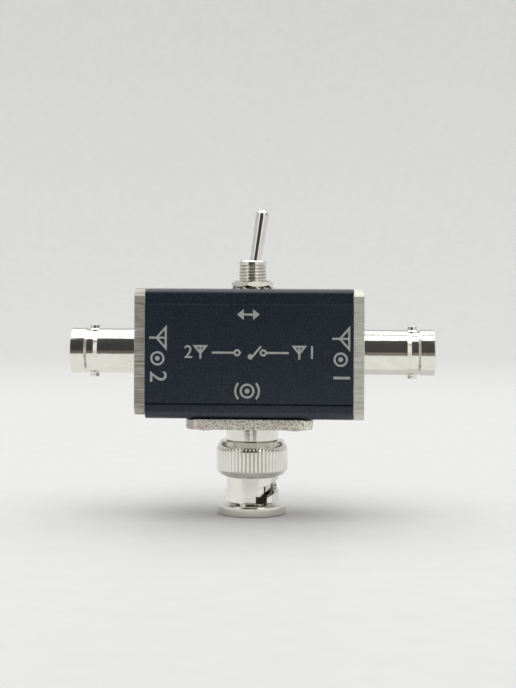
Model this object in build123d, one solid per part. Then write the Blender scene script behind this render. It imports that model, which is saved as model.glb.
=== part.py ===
from build123d import *
import math
import os

# Two-way coaxial antenna switch. A toggle switch inside a square aluminium tube joins the bayonet
# plug below the tube to one of the two bayonet jacks on its end plates.
# Millimetres, +Z up. The origin is the centre of the lower face of the plug's coupling nut, and
# the plug's axis is Z. +X points at the right-hand jack, and -Y points out of the front face.

os.makedirs("parts", exist_ok=True)

# ---- driving dimensions: clearances ----
press_gap = 0.02            # radial gap of pressed, staked and crimped pieces
thread_gap = 0.05           # radial gap between a screw thread and its tapped hole
running_gap = 0.08          # radial gap of pieces that turn or slide on each other
seat_gap = 0.02             # axial gap under a piece that turns on its seat
hole_gap = 0.15             # radial gap of drilled clearance holes

# ---- driving dimensions: tube, end plates and their screws ----
tube_length = 42.3
tube_height = 26.5
tube_depth = 26.5           # over the raised panels of the front and back faces
tube_corner = 1.5
tube_wall = 1.8
panel_rise = 0.25
panel_margin = 3.2          # from the raised panel's edges to the tube's top and bottom faces
plate_thickness = 2.25
plate_corner = 1.75
plate_edge = 0.25
screw_radius = 1.2          # M2.5 thread
screw_head_radius = 2.35
screw_length = 8.0
screw_inset = 3.15          # from the screw's axis to the plate's edges
channel_wall = 1.05
recess_width = 0.5          # cross recess in every screw head
recess_span = 2.6
recess_depth = 0.7

# ---- driving dimensions: antenna jacks ----
jack_length = 14.9          # from the end plate's outer face to the jack's tip
barrel_radius = 4.825
barrel_edge = 0.2
lip_length = 3.0            # full-size lip ahead of the shallow groove
groove_length = 2.8
groove_depth = 0.28
lug_setback = 4.65          # from the jack's tip to the bayonet lugs' centres
lug_radius = 1.0
lug_reach = 5.5             # from the jack's axis to the lugs' ends
mouth_radius = 4.06
mouth_depth = 8.4
nose_radius = 2.36          # insulator's nose inside the mouth
nose_setback = 3.2
insulator_radius = 3.0
shoulder_radius = 5.6       # jack's shoulder, sunk flush in the end plate
shoulder_height = 1.0
jack_thread_radius = 4.7
jack_washer_radius = 7.0
jack_washer_thickness = 0.5
jack_nut_flats = 12.7
jack_nut_thickness = 2.2
jack_thread_spare = 0.9     # thread showing behind the nut
contact_radius = 1.1
contact_setback = 3.4
socket_radius = 0.69
socket_depth = 5.0
socket_slot = 0.3
solder_cup_radius = 0.5
solder_cup_depth = 1.5
jack_cup_reach = 3.5        # contact's tail behind the shell

# ---- driving dimensions: coupling nut of the plug ----
ring_radius = 7.25
ring_height = 2.6
ring_edge = 0.5
sleeve_radius = 5.7
sleeve_height = 5.05
neck_step = 0.46            # height of the flat cone under the knurl
neck_step_radius = 6.7
lower_chamfer = 1.3
knurl_radius = 7.5
knurl_height = 4.15
upper_chamfer = 1.9
nut_top_radius = 6.7
nut_bore_radius = 4.9
bore_edge = 0.3
cavity_radius = 6.2
cavity_gap = 0.45           # floor of the cavity below the gasket
lip_thickness = 0.9         # rear lip of the nut, which runs on the plug's neck
slot_width = 2.2
slot_entry_angle = 24.0     # degrees round Z from the front towards +X
slot_end_angle = 105.0
slot_entry_height = 4.65    # slot's centre where it leaves the entry
slot_rise = 1.7
slot_steps = 6
nut_travel = 0.8            # forward travel of the nut against its spring washers

# ---- driving dimensions: plug ----
collar_radius = 5.6
collar_height = 3.22
collar_gap = 0.1
flange_size = 25.9
flange_thickness = 2.12
flange_corner = 2.9
flange_hole_pitch = 18.26
flange_screw_dome = 0.55
flange_screw_spare = 0.4    # screw tip showing inside the tube
spigot_radius = 5.9
spigot_height = 1.6
neck_radius = 4.6
sleeve_tail_radius = 3.95   # plug body's tail, pressed into the flange
gasket_radius = 5.6
gasket_thickness = 0.8
gasket_seat_radius = 3.85
body_shoulder_radius = 6.0
body_shoulder_height = 0.8
thrust_thickness = 0.25
thrust_radius = 6.05
spring_thickness = 0.25
finger_radius = 4.03
finger_bore = 3.45
finger_slot = 0.5
finger_slot_length = 6.8
finger_setback = 3.7        # from the coupling nut's front face to the fingers' tips
finger_edge = 0.2
plug_nose_setback = 5.3     # from the fingers' tips to the insulator inside them
plug_tail_bore = 2.05       # insulator's bore through the plug body's tail
pin_radius = 0.675
pin_setback = 3.6
pin_tip = 0.5
pin_shank_radius = 0.95
insulator_tail = 2.6        # insulator above the plug body
plug_cup_reach = 2.6

# ---- driving dimensions: toggle switch ----
thread_radius = 2.93        # M6 bushing
bushing_rise = 6.0          # bushing above the tube's top face
bushing_edge = 0.35
bushing_lip = 0.5
washer_thickness = 0.3
washer_radius = 4.35
washer_teeth = 12
washer_tooth_gap = 0.7
washer_tooth_depth = 0.8
nut_flats = 8.0
outer_nut_thickness = 1.45
outer_nut_turn = 19.0       # degrees from the front to the nearest flat's normal
inner_nut_thickness = 1.9
pivot_drop = 4.15           # from the bushing's top to the lever's pivot
lever_tilt = 8.2            # degrees from upright at either end of the throw
lever_length = 15.07        # from the pivot to the lever's tip
lever_base_radius = 1.2
lever_flare_radius = 1.36
lever_flare_height = 0.6
lever_tip_radius = 1.43
ball_catch = 0.1            # how far the bushing's lip overlaps the ball
stem_radius = 1.3
stem_length = 7.3
plunger_radius = 0.8
plunger_reach = 9.9         # from the pivot to the plunger's tip
plunger_top = 4.0           # from the pivot to the plunger's upper end
plunger_travel = 0.5
spring_pocket = 1.6
spring_wire = 0.12
spring_turns = 3.5
spring_end_gap = 0.05
frame_sheet = 0.5
frame_leg_width = 8.0
frame_leg_length = 6.0
case_wall = 0.9
case_floor = 1.6
case_height = 9.0
case_depth = 6.9
rocker_sheet = 0.4
rocker_width = 3.6
rocker_overhang = 0.7       # blade past the contact's centre
rocker_end_gap = 0.5
plunger_rocker_gap = 0.05   # between the plunger and the blade at mid-throw
contact_gap = 0.05          # between touching switch contacts
contact_button_radius = 0.8
contact_button_height = 0.3
terminal_pitch = 4.7
terminal_sheet = 0.8
terminal_width = 2.0
terminal_reach = 4.0        # solder tails below the case
terminal_hole_radius = 0.6
terminal_hole_setback = 1.35

# ---- driving dimensions: leads ----
lead_radius = 0.4
lead_slack = 0.5            # lead past the terminal it is soldered into
lead_bend = 1.8
lead_run = 2.6              # straight part of the lead at the jack

# ---- heights and places worked out from them ----
sleeve_top = ring_height + sleeve_height
knurl_bottom = sleeve_top + neck_step + lower_chamfer
knurl_top = knurl_bottom + knurl_height
nut_top = knurl_top + upper_chamfer
nut_lip_bottom = nut_top - lip_thickness
slot_end_height = slot_entry_height + slot_rise
collar_bottom = nut_top + collar_gap
flange_bottom = collar_bottom + collar_height
tube_bottom = flange_bottom + flange_thickness
tube_top = tube_bottom + tube_height
axis_height = tube_bottom + tube_height / 2
thrust_bottom = nut_lip_bottom - seat_gap - thrust_thickness
gasket_bottom = slot_end_height + lug_setback
gasket_top = gasket_bottom + gasket_thickness
shoulder_top = gasket_top + body_shoulder_height
cavity_bottom = gasket_bottom - cavity_gap
plug_nose = finger_setback + plug_nose_setback
tail_top = tube_bottom + spigot_height / 2
plug_insulator_top = tail_top + insulator_tail
plug_cup_top = plug_insulator_top + plug_cup_reach
bushing_top = tube_top + bushing_rise
pivot_height = bushing_top - pivot_drop
frame_top = tube_top - tube_wall - inner_nut_thickness
case_top = frame_top - frame_sheet
case_bottom = case_top - case_height
tilt = math.radians(lever_tilt)
blade_top = pivot_height - plunger_reach - plunger_rocker_gap
blade_axis = blade_top - rocker_sheet
lip_hole_radius = lever_flare_radius / math.cos(tilt) + pivot_drop * math.tan(tilt) + running_gap
ball_radius = lip_hole_radius + ball_catch
bushing_bore = ball_radius + running_gap
rocker_reach = terminal_pitch + rocker_overhang
case_inner_length = 2 * (rocker_reach + rocker_end_gap)
case_length = case_inner_length + 2 * case_wall
jack_tip = plate_thickness + jack_length
jack_tail = -(jack_washer_thickness + jack_nut_thickness + jack_thread_spare)
jack_cup = jack_tail - jack_cup_reach
tapped_radius = screw_radius + thread_gap
channel_radius = tapped_radius + channel_wall


def turned(*corners):
    """Solid of revolution about Z from its section's (radius, height) corners."""
    return revolve(Plane.XZ * make_face(Polyline(*corners, close=True)), Axis.Z)


def disc(radius, low, high, bore=0.0):
    """Round disc or ring about Z between two heights."""
    if bore:
        return turned((bore, low), (radius, low), (radius, high), (bore, high))
    return turned((0, low), (radius, low), (radius, high), (0, high))


def hexagon(flats, low, high, turn=0.0):
    """Hexagonal bar about Z between two heights, its first flat's normal turned from -Y to +X."""
    outline = Rot(0, 0, turn) * RegularPolygon(flats / 2, 6, major_radius=False, rotation=30)
    return extrude(Pos(0, 0, low) * outline, high - low)


def hex_nut(flats, low, high, bore, turn=0.0):
    """Hexagon nut with its corners turned off at 30 degrees on both faces."""
    corner = flats / math.sqrt(3)
    cut = (corner - flats / 2) * math.tan(math.radians(30))
    rounding = turned((0, low), (flats / 2, low), (corner, low + cut), (corner, high - cut),
                      (flats / 2, high), (0, high))
    return (hexagon(flats, low, high, turn) & rounding) - disc(bore, low, high)


def square_corners(pitch_x, pitch_y):
    """The four corner places of a rectangular hole pattern about Z."""
    return [Pos(x, y, 0) for x in (-pitch_x / 2, pitch_x / 2) for y in (-pitch_y / 2, pitch_y / 2)]


def cross_recess(top):
    """Cross recess of a screw head whose highest point is at the given height."""
    arm = Pos(0, 0, top - recess_depth / 2) * Box(recess_span, recess_width, recess_depth)
    return arm + Rot(0, 0, 90) * arm


def countersunk_hole(top, depth, gap):
    """Tool that cuts a countersunk screw hole with its wide end at the given height."""
    slope = screw_head_radius - screw_radius
    return turned((0, top), (screw_head_radius + gap, top), (screw_radius + gap, top - slope),
                  (screw_radius + gap, top - depth), (0, top - depth))


def save(node, shape):
    """Write one sub-part to its STEP file."""
    export_step(shape, f"parts/{node}.step")


# ---- extruded tube ----
def extruded_tube():
    half_y = tube_depth / 2 - screw_inset
    half_z = tube_height / 2 - screw_inset
    body_depth = tube_depth - 2 * panel_rise
    section = RectangleRounded(body_depth, tube_height, tube_corner)
    section += Rectangle(tube_depth, tube_height - 2 * panel_margin)
    section -= Rectangle(body_depth - 2 * tube_wall, tube_height - 2 * tube_wall)
    for place in square_corners(2 * half_y, 2 * half_z):
        section += place * Circle(channel_radius)
        section -= place * Circle(tapped_radius)
    tube = extrude(Plane.YZ.offset(-tube_length / 2) * section, tube_length)
    tube = Pos(0, 0, axis_height) * tube
    tube -= disc(thread_radius + hole_gap, tube_top - tube_wall, tube_top)
    tube -= disc(spigot_radius + hole_gap, tube_bottom, tube_bottom + tube_wall)
    drilled = tube_wall + flange_screw_spare
    for place in square_corners(flange_hole_pitch, flange_hole_pitch):
        tube -= place * disc(tapped_radius, tube_bottom, tube_bottom + drilled + hole_gap)
    return tube


save("extruded_tube", extruded_tube())


# ---- end plates with their screws, made about the jack's axis, with Z=0 on the inner face ----
plate_places = square_corners(tube_height - 2 * screw_inset, tube_depth - 2 * screw_inset)


def end_plate():
    outline = RectangleRounded(tube_height, tube_depth, plate_corner)
    plate = extrude(outline, plate_thickness)
    plate = chamfer(plate.faces().sort_by(Axis.Z)[-1].edges(), plate_edge)
    plate -= disc(jack_thread_radius + thread_gap, 0, plate_thickness)
    counterbore = plate_thickness - shoulder_height
    plate -= disc(shoulder_radius + thread_gap, counterbore, plate_thickness)
    for place in plate_places:
        plate -= place * countersunk_hole(plate_thickness, plate_thickness, thread_gap)
    return plate


def end_plate_screws():
    top = plate_thickness - thread_gap
    screw = countersunk_hole(top, screw_length, 0) - cross_recess(top)
    return Compound(children=[place * screw for place in plate_places])


# ---- antenna jack, made about its own axis in the same way ----
def jack_shell():
    groove_radius = barrel_radius - groove_depth
    groove_front = jack_tip - lip_length
    groove_back = groove_front - groove_length
    shell = turned(
        (insulator_radius, jack_tail), (jack_thread_radius, jack_tail),
        (jack_thread_radius, plate_thickness - shoulder_height),
        (shoulder_radius, plate_thickness - shoulder_height), (shoulder_radius, plate_thickness),
        (barrel_radius, plate_thickness), (barrel_radius, groove_back),
        (groove_radius, groove_back), (groove_radius, groove_front),
        (barrel_radius, groove_front), (barrel_radius, jack_tip - barrel_edge),
        (barrel_radius - barrel_edge, jack_tip), (mouth_radius + barrel_edge, jack_tip),
        (mouth_radius, jack_tip - barrel_edge), (mouth_radius, jack_tip - mouth_depth),
        (insulator_radius, jack_tip - mouth_depth))
    root = (mouth_radius + groove_radius) / 2
    lug = Pos(root, 0, jack_tip - lug_setback) * Rot(0, 90, 0)
    lug *= Cylinder(lug_radius, lug_reach - root, align=(Align.CENTER, Align.CENTER, Align.MIN))
    return shell + lug + Rot(0, 0, 180) * lug


def jack_insulator():
    bore = contact_radius + press_gap
    body = insulator_radius - press_gap
    seat = jack_tip - mouth_depth
    nose = jack_tip - nose_setback
    return turned((bore, jack_tail), (body, jack_tail), (body, seat),
                  (nose_radius, seat), (nose_radius, nose), (bore, nose))


def jack_contact():
    front = jack_tip - contact_setback
    contact = disc(contact_radius, jack_cup, front)
    contact -= disc(socket_radius, front - socket_depth, front)
    contact -= disc(solder_cup_radius, jack_cup, jack_cup + solder_cup_depth)
    slot_length = 0.7 * socket_depth
    slot = Box(2 * contact_radius + socket_slot, socket_slot, slot_length)
    return contact - Pos(0, 0, front - slot_length / 2) * slot


def jack_washer():
    bore = jack_thread_radius + hole_gap
    return disc(jack_washer_radius, -jack_washer_thickness, 0, bore)


def jack_nut():
    high = -jack_washer_thickness
    bore = jack_thread_radius + thread_gap
    return hex_nut(jack_nut_flats, high - jack_nut_thickness, high, bore)


sides = {
    "left": Pos(-tube_length / 2, 0, axis_height) * Rot(0, -90, 0),
    "right": Pos(tube_length / 2, 0, axis_height) * Rot(0, 90, 0),
}
for side, place in sides.items():
    save(f"end_plate_{side}", place * end_plate())
    save(f"end_plate_screws_{side}", place * end_plate_screws())
    save(f"jack_shell_{side}", place * jack_shell())
    save(f"jack_insulator_{side}", place * jack_insulator())
    save(f"jack_contact_{side}", place * jack_contact())
    save(f"jack_washer_{side}", place * jack_washer())
    save(f"jack_nut_{side}", place * jack_nut())


# ---- coupling nut: knurled grip, bayonet slots and front ring ----
def slot_height(angle):
    """Height of the bayonet slot's centre line: steep at the entry, level at the end."""
    along = (angle - slot_entry_angle) / (slot_end_angle - slot_entry_angle)
    return slot_entry_height + slot_rise * (1 - (1 - along) ** 2)


def radial_prism(angle, start, end, *corners):
    """Prism through the sleeve's wall: corners are (distance along the wall, height)."""
    turn = math.radians(angle)
    outward = (math.sin(turn), -math.cos(turn), 0)
    origin = (start * outward[0], start * outward[1], 0)
    face = Plane(origin=origin, x_dir=(math.cos(turn), math.sin(turn), 0), z_dir=outward)
    return extrude(face * make_face(Polyline(*corners, close=True)), end - start)


def bayonet_slot():
    """Tool for one slot: the entry from the nut's mouth, the rising cam and the lug's seat."""
    inner = nut_bore_radius - slot_width / 2
    outer = sleeve_radius + running_gap
    half = slot_width / 2
    mouth = -bore_edge
    entry_top = slot_height(slot_entry_angle) + half
    tool = radial_prism(slot_entry_angle, inner, outer, (-half, mouth), (half, mouth),
                        (half, entry_top), (-half, entry_top - half / 2))
    step = (slot_end_angle - slot_entry_angle) / slot_steps
    reach = outer * math.tan(math.radians(step / 2))
    for i in range(slot_steps):
        start = slot_entry_angle + i * step
        low = slot_height(start)
        high = slot_height(start + step)
        tool += radial_prism(start + step / 2, inner, outer,
                             (-reach, low - half), (reach, high - half),
                             (reach, high + half), (-reach, low + half))
    seat = Pos(0, 0, slot_end_height) * Rot(0, 0, slot_end_angle) * Rot(90, 0, 0)
    pin = Cylinder(half, outer - inner, align=(Align.CENTER, Align.CENTER, Align.MIN))
    return tool + seat * Pos(0, 0, inner) * pin


def coupling_nut():
    nut = turned(
        (nut_bore_radius + bore_edge, 0), (ring_radius - ring_edge, 0), (ring_radius, ring_edge),
        (ring_radius, ring_height - ring_edge), (ring_radius - ring_edge, ring_height),
        (sleeve_radius, ring_height), (sleeve_radius, sleeve_top),
        (neck_step_radius, sleeve_top + neck_step), (knurl_radius, knurl_bottom),
        (knurl_radius, knurl_top), (nut_top_radius, nut_top),
        (neck_radius + running_gap, nut_top), (neck_radius + running_gap, nut_lip_bottom),
        (cavity_radius, nut_lip_bottom), (cavity_radius, cavity_bottom),
        (nut_bore_radius, cavity_bottom), (nut_bore_radius, bore_edge))
    slot = bayonet_slot()
    return nut - slot - Rot(0, 0, 180) * slot


save("coupling_nut", coupling_nut())
save("thrust_washer", disc(thrust_radius, thrust_bottom, thrust_bottom + thrust_thickness,
                           neck_radius + hole_gap))


# ---- two conical spring washers, stacked rim to rim ----
def spring_washers():
    inner = neck_radius + hole_gap
    outer = thrust_radius - hole_gap
    room = thrust_bottom - shoulder_top
    middle = (shoulder_top + thrust_bottom) / 2
    rim = middle + seat_gap / 2
    top = shoulder_top + room - seat_gap
    upper = turned((inner, top - spring_thickness), (inner, top),
                   (outer, rim + spring_thickness), (outer, rim))
    lower = mirror(upper, about=Plane.XY.offset(middle))
    return Compound(children=[upper, lower])


save("spring_washers", spring_washers())


# ---- plug body: spring fingers, gasket seat, shoulder, neck and pressed tail ----
def plug_body():
    body = turned(
        (finger_bore, finger_setback), (finger_radius - finger_edge, finger_setback),
        (finger_radius, finger_setback + finger_edge), (finger_radius, gasket_bottom),
        (gasket_seat_radius, gasket_bottom), (gasket_seat_radius, gasket_top),
        (body_shoulder_radius, gasket_top), (body_shoulder_radius, shoulder_top),
        (neck_radius, shoulder_top), (neck_radius, collar_bottom),
        (sleeve_tail_radius, collar_bottom), (sleeve_tail_radius, tail_top),
        (plug_tail_bore, tail_top), (plug_tail_bore, shoulder_top),
        (finger_bore, shoulder_top))
    cut = Box(2 * finger_radius + finger_slot, finger_slot, finger_slot_length)
    cut = Pos(0, 0, finger_setback + finger_slot_length / 2) * cut
    for turn in (45, 135):
        body -= Rot(0, 0, turn) * cut
    return body


def plug_flange():
    plate = RectangleRounded(flange_size, flange_size, flange_corner)
    flange = extrude(Pos(0, 0, flange_bottom) * plate, flange_thickness)
    flange += disc(collar_radius, collar_bottom, flange_bottom)
    flange += disc(spigot_radius, tube_bottom, tube_bottom + spigot_height)
    flange -= disc(sleeve_tail_radius + press_gap, collar_bottom, tail_top)
    flange -= disc(plug_tail_bore + hole_gap, tail_top, tube_bottom + spigot_height)
    sink = Pos(0, 0, flange_bottom) * Rot(180, 0, 0) * countersunk_hole(0, flange_thickness, thread_gap)
    for place in square_corners(flange_hole_pitch, flange_hole_pitch):
        flange -= place * sink
    return flange


def flange_screws():
    """Raised countersunk screws: a low dome stands below the flange."""
    length = flange_thickness + tube_wall + flange_screw_spare
    head = screw_head_radius
    ball = (head ** 2 + flange_screw_dome ** 2) / (2 * flange_screw_dome)
    dome = Pos(0, 0, flange_screw_dome - ball) * Sphere(ball)
    dome &= disc(head, 0, flange_screw_dome)
    screw = countersunk_hole(0, length, 0) + dome - cross_recess(flange_screw_dome)
    screw = Pos(0, 0, flange_bottom) * Rot(180, 0, 0) * screw
    places = square_corners(flange_hole_pitch, flange_hole_pitch)
    return Compound(children=[place * screw for place in places])


def plug_insulator():
    front = finger_bore - press_gap
    tail = plug_tail_bore - press_gap
    bore = pin_shank_radius + press_gap
    step = shoulder_top - press_gap
    return turned((bore, plug_nose), (front, plug_nose), (front, step), (tail, step),
                  (tail, plug_insulator_top), (bore, plug_insulator_top))


def plug_pin():
    pin = turned((0, pin_setback), (pin_radius / 2, pin_setback),
                 (pin_radius, pin_setback + pin_tip), (pin_radius, plug_nose),
                 (pin_shank_radius, plug_nose), (pin_shank_radius, plug_cup_top),
                 (0, plug_cup_top))
    return pin - disc(solder_cup_radius, plug_cup_top - solder_cup_depth, plug_cup_top)


save("plug_body", plug_body())
save("plug_flange", plug_flange())
save("flange_screws", flange_screws())
save("plug_insulator", plug_insulator())
save("plug_pin", plug_pin())
save("plug_gasket", disc(gasket_radius, gasket_bottom, gasket_top, gasket_seat_radius))


# ---- toggle switch: bushing, nuts and lock washer ----
def toggle_bushing():
    tail_radius = thread_radius - bushing_edge
    return turned((bushing_bore, case_top), (tail_radius, case_top), (tail_radius, frame_top),
                  (thread_radius, frame_top), (thread_radius, bushing_top - bushing_edge),
                  (thread_radius - bushing_edge, bushing_top), (lip_hole_radius, bushing_top),
                  (lip_hole_radius, bushing_top - bushing_lip),
                  (bushing_bore, bushing_top - bushing_lip - ball_catch))


def toothed_washer():
    washer = disc(washer_radius, tube_top, tube_top + washer_thickness, thread_radius + hole_gap)
    notch = Box(washer_tooth_depth, washer_tooth_gap, washer_thickness)
    notch = Pos(washer_radius - washer_tooth_depth / 2, 0, tube_top + washer_thickness / 2) * notch
    for i in range(washer_teeth):
        washer -= Rot(0, 0, 360 * i / washer_teeth) * notch
    return washer


outer_nut_bottom = tube_top + washer_thickness
outer_nut_top = outer_nut_bottom + outer_nut_thickness
nut_thread = thread_radius + thread_gap
save("toggle_bushing", toggle_bushing())
save("toggle_lock_washer", toothed_washer())
save("toggle_outer_nut", hex_nut(nut_flats, outer_nut_bottom, outer_nut_top, nut_thread,
                                 outer_nut_turn))
save("toggle_inner_nut", hex_nut(nut_flats, frame_top, tube_top - tube_wall, nut_thread))


# ---- toggle switch: sheet frame and moulded case ----
def toggle_frame():
    width = case_depth + 2 * frame_sheet
    top = Pos(0, 0, case_top + frame_sheet / 2) * Box(case_length, width, frame_sheet)
    leg = Box(frame_leg_width, frame_sheet, frame_leg_length)
    leg_y = (case_depth + frame_sheet) / 2
    leg_z = case_top - frame_leg_length / 2
    frame = top + Pos(0, leg_y, leg_z) * leg + Pos(0, -leg_y, leg_z) * leg
    return frame - disc(thread_radius - bushing_edge + press_gap, case_top, frame_top)


def toggle_case():
    outer = Box(case_length, case_depth, case_height)
    inner_height = case_height - case_floor
    inner = Box(case_inner_length, case_depth - 2 * case_wall, inner_height)
    case = outer - Pos(0, 0, case_floor / 2) * inner
    case = Pos(0, 0, case_top - case_height / 2) * case
    slit = Box(terminal_sheet + 2 * press_gap, terminal_width + 2 * press_gap, case_floor)
    for x in (-terminal_pitch, 0, terminal_pitch):
        case -= Pos(x, 0, case_bottom + case_floor / 2) * slit
    return case


def terminal(x, top):
    """Flat terminal with a solder eye below the case."""
    low = case_bottom - terminal_reach
    blade = Pos(x, 0, (low + top) / 2) * Box(terminal_sheet, terminal_width, top - low)
    eye = Pos(x, 0, low + terminal_hole_setback) * Rot(0, 90, 0)
    return blade - eye * Cylinder(terminal_hole_radius, 2 * terminal_sheet)


def throw_terminal(x):
    """Outer terminal with its fixed contact riveted on top."""
    button_top = blade_axis - contact_button_height - contact_gap
    button_bottom = button_top - contact_button_height
    button = Pos(x, 0, 0) * disc(contact_button_radius, button_bottom, button_top)
    return terminal(x, button_bottom) + button


save("toggle_frame", toggle_frame())
save("toggle_case", toggle_case())
save("common_terminal", terminal(0, blade_axis - contact_gap))
save("throw_terminal_left", throw_terminal(-terminal_pitch))
save("throw_terminal_right", throw_terminal(terminal_pitch))


# ---- toggle switch: rocking blade, drawn level and then tipped onto the left contact ----
def rocker_blade():
    wing_x = rocker_reach * math.cos(tilt)
    wing_z = rocker_reach * math.sin(tilt)
    outline = Polyline((0, 0), (wing_x, wing_z), (wing_x, wing_z + rocker_sheet),
                       (0, rocker_sheet), (-wing_x, wing_z + rocker_sheet),
                       (-wing_x, wing_z), close=True)
    blade = extrude(Plane.XZ * make_face(outline), rocker_width / 2, both=True)
    button = Pos(terminal_pitch, 0, -contact_button_height / 2) * Cylinder(
        contact_button_radius, contact_button_height)
    blade += Rot(0, -lever_tilt, 0) * button
    blade += Rot(0, 0, 180) * Rot(0, -lever_tilt, 0) * button
    return Pos(0, 0, blade_axis) * Rot(0, -lever_tilt, 0) * blade


save("rocker_blade", rocker_blade())


# ---- toggle switch: lever, plunger and spring, drawn upright at the pivot and then tipped ----
def toggle_lever():
    shaft_end = lever_length - lever_tip_radius
    flare_top = pivot_drop + lever_flare_height
    lever = turned((0, 0), (lever_flare_radius, 0), (lever_flare_radius, pivot_drop),
                   (lever_base_radius, flare_top), (lever_tip_radius, shaft_end), (0, shaft_end))
    lever += Pos(0, 0, shaft_end) * Sphere(lever_tip_radius)
    lever += Sphere(ball_radius)
    lever += disc(stem_radius, -stem_length, 0)
    bore = plunger_radius + running_gap
    return lever - disc(bore, -stem_length, -(plunger_top - spring_pocket))


def toggle_plunger():
    shank_end = plunger_radius - plunger_reach
    return disc(plunger_radius, shank_end, -plunger_top) + Pos(0, 0, shank_end) * Sphere(plunger_radius)


def plunger_spring():
    low = -plunger_top + spring_wire + spring_end_gap
    height = spring_pocket - 2 * (spring_wire + spring_end_gap)
    mean_radius = plunger_radius - spring_wire - spring_end_gap
    coil = Helix(height / spring_turns, height, mean_radius)
    wire = Plane(coil @ 0, z_dir=coil % 0) * Circle(spring_wire)
    return Pos(0, 0, low) * sweep(wire, path=coil, is_frenet=True)


lever_place = Pos(0, 0, pivot_height) * Rot(0, lever_tilt, 0)
save("toggle_lever", lever_place * toggle_lever())
save("toggle_plunger", lever_place * toggle_plunger())
save("plunger_spring", lever_place * plunger_spring())


# ---- leads: jack contacts to the outer terminals, plug pin to the middle one ----
def jack_lead(side):
    """Bare wire from a jack's solder cup down to the eye of the terminal on that side."""
    cup = tube_length / 2 + jack_cup
    eye_height = case_bottom - terminal_reach + terminal_hole_setback
    start = cup + solder_cup_depth - contact_gap
    bend = cup - lead_run
    drop = axis_height - eye_height
    end = terminal_pitch - terminal_sheet / 2 - lead_slack
    route = FilletPolyline((start, 0, axis_height), (bend, 0, axis_height),
                           (bend - drop, 0, eye_height), (end, 0, eye_height),
                           radius=lead_bend)
    wire = sweep(Plane(route @ 0, z_dir=route % 0) * Circle(lead_radius), path=route)
    return wire if side == "right" else Rot(0, 0, 180) * wire


def common_lead():
    low = plug_cup_top - solder_cup_depth + contact_gap
    high = case_bottom - terminal_reach - contact_gap
    return disc(lead_radius, low, high)


for side in sides:
    save(f"jack_lead_{side}", jack_lead(side))
save("common_lead", common_lead())
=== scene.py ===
import bpy
import bmesh
import math
from mathutils import Matrix, Vector


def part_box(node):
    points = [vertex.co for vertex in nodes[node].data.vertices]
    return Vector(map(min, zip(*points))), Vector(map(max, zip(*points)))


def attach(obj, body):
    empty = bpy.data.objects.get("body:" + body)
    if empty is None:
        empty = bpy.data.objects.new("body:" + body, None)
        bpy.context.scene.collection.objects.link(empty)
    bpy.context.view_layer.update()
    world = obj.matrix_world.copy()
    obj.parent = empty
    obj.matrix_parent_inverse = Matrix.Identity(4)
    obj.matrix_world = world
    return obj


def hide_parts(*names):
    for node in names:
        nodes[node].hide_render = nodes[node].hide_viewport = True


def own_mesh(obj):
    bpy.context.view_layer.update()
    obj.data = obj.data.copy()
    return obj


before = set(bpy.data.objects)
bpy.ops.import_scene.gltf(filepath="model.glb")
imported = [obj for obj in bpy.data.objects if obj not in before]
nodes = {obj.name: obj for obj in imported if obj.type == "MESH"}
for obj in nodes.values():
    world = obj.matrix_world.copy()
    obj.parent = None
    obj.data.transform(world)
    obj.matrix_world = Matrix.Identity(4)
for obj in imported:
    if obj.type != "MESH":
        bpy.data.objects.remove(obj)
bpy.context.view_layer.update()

# ---- extruded tube ----
# The body is a length of square aluminium tube, extruded, sawn to length and anodised blue-black.
# A raised panel runs along its front and its back, and four ribs inside take the end screws.
# Shapes are drawn here in millimetres, and finished() brings each one to the frame's metres.
mm = 0.001


def shaped(mesh):
    """Object for a mesh that is still being worked on."""
    shape = bpy.data.objects.new("shape", mesh)
    bpy.context.scene.collection.objects.link(shape)
    return shape


def closed_mesh(bm):
    """Merge a shape's seams, turn its faces outwards and hand it over as a mesh."""
    bmesh.ops.remove_doubles(bm, verts=bm.verts, dist=1e-5)
    bmesh.ops.recalc_face_normals(bm, faces=bm.faces)
    mesh = bpy.data.meshes.new("shape")
    bm.to_mesh(mesh)
    bm.free()
    return mesh


def eased(corners, steps=4):
    """Closed outline from (x, y, radius) corners, each turned into an arc of its radius."""
    outline = []
    for i, (x, y, radius) in enumerate(corners):
        corner = Vector((x, y))
        if radius == 0:
            outline.append(corner)
            continue
        before = (Vector(corners[i - 1][:2]) - corner).normalized()
        after = (Vector(corners[(i + 1) % len(corners)][:2]) - corner).normalized()
        half = before.angle(after) / 2
        centre = corner + (before + after).normalized() * radius / math.sin(half)
        start = corner + before * radius / math.tan(half) - centre
        end = corner + after * radius / math.tan(half) - centre
        sweep = start.angle(end)
        for k in range(steps + 1):
            part = sweep * k / steps
            outline.append(centre + (start * math.sin(sweep - part) + end * math.sin(part))
                           / math.sin(sweep))
    return outline


def ring(radius, steps=48, x=0.0, y=0.0):
    """Round outline."""
    turns = [2 * math.pi * i / steps for i in range(steps)]
    return [(x + radius * math.cos(a), y + radius * math.sin(a)) for a in turns]


def slab(outlines, low, high, edge=0.0, edge_steps=0):
    """Flat solid between two heights: filled in the first outline, open in those inside it."""
    curve = bpy.data.curves.new("outline", "CURVE")
    curve.dimensions = "2D"
    curve.fill_mode = "BOTH"
    curve.extrude = (high - low) / 2 - edge
    curve.bevel_depth = edge
    curve.bevel_resolution = edge_steps
    curve.offset = -edge
    for outline in outlines:
        spline = curve.splines.new("POLY")
        spline.points.add(len(outline) - 1)
        for point, (x, y) in zip(spline.points, outline):
            point.co = (x, y, 0, 1)
        spline.use_cyclic_u = True
    flat = shaped(curve)
    bm = bmesh.new()
    bm.from_mesh(bpy.data.meshes.new_from_object(flat))
    bmesh.ops.translate(bm, verts=bm.verts, vec=(0, 0, (low + high) / 2))
    bpy.data.objects.remove(flat)
    return shaped(closed_mesh(bm))


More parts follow.
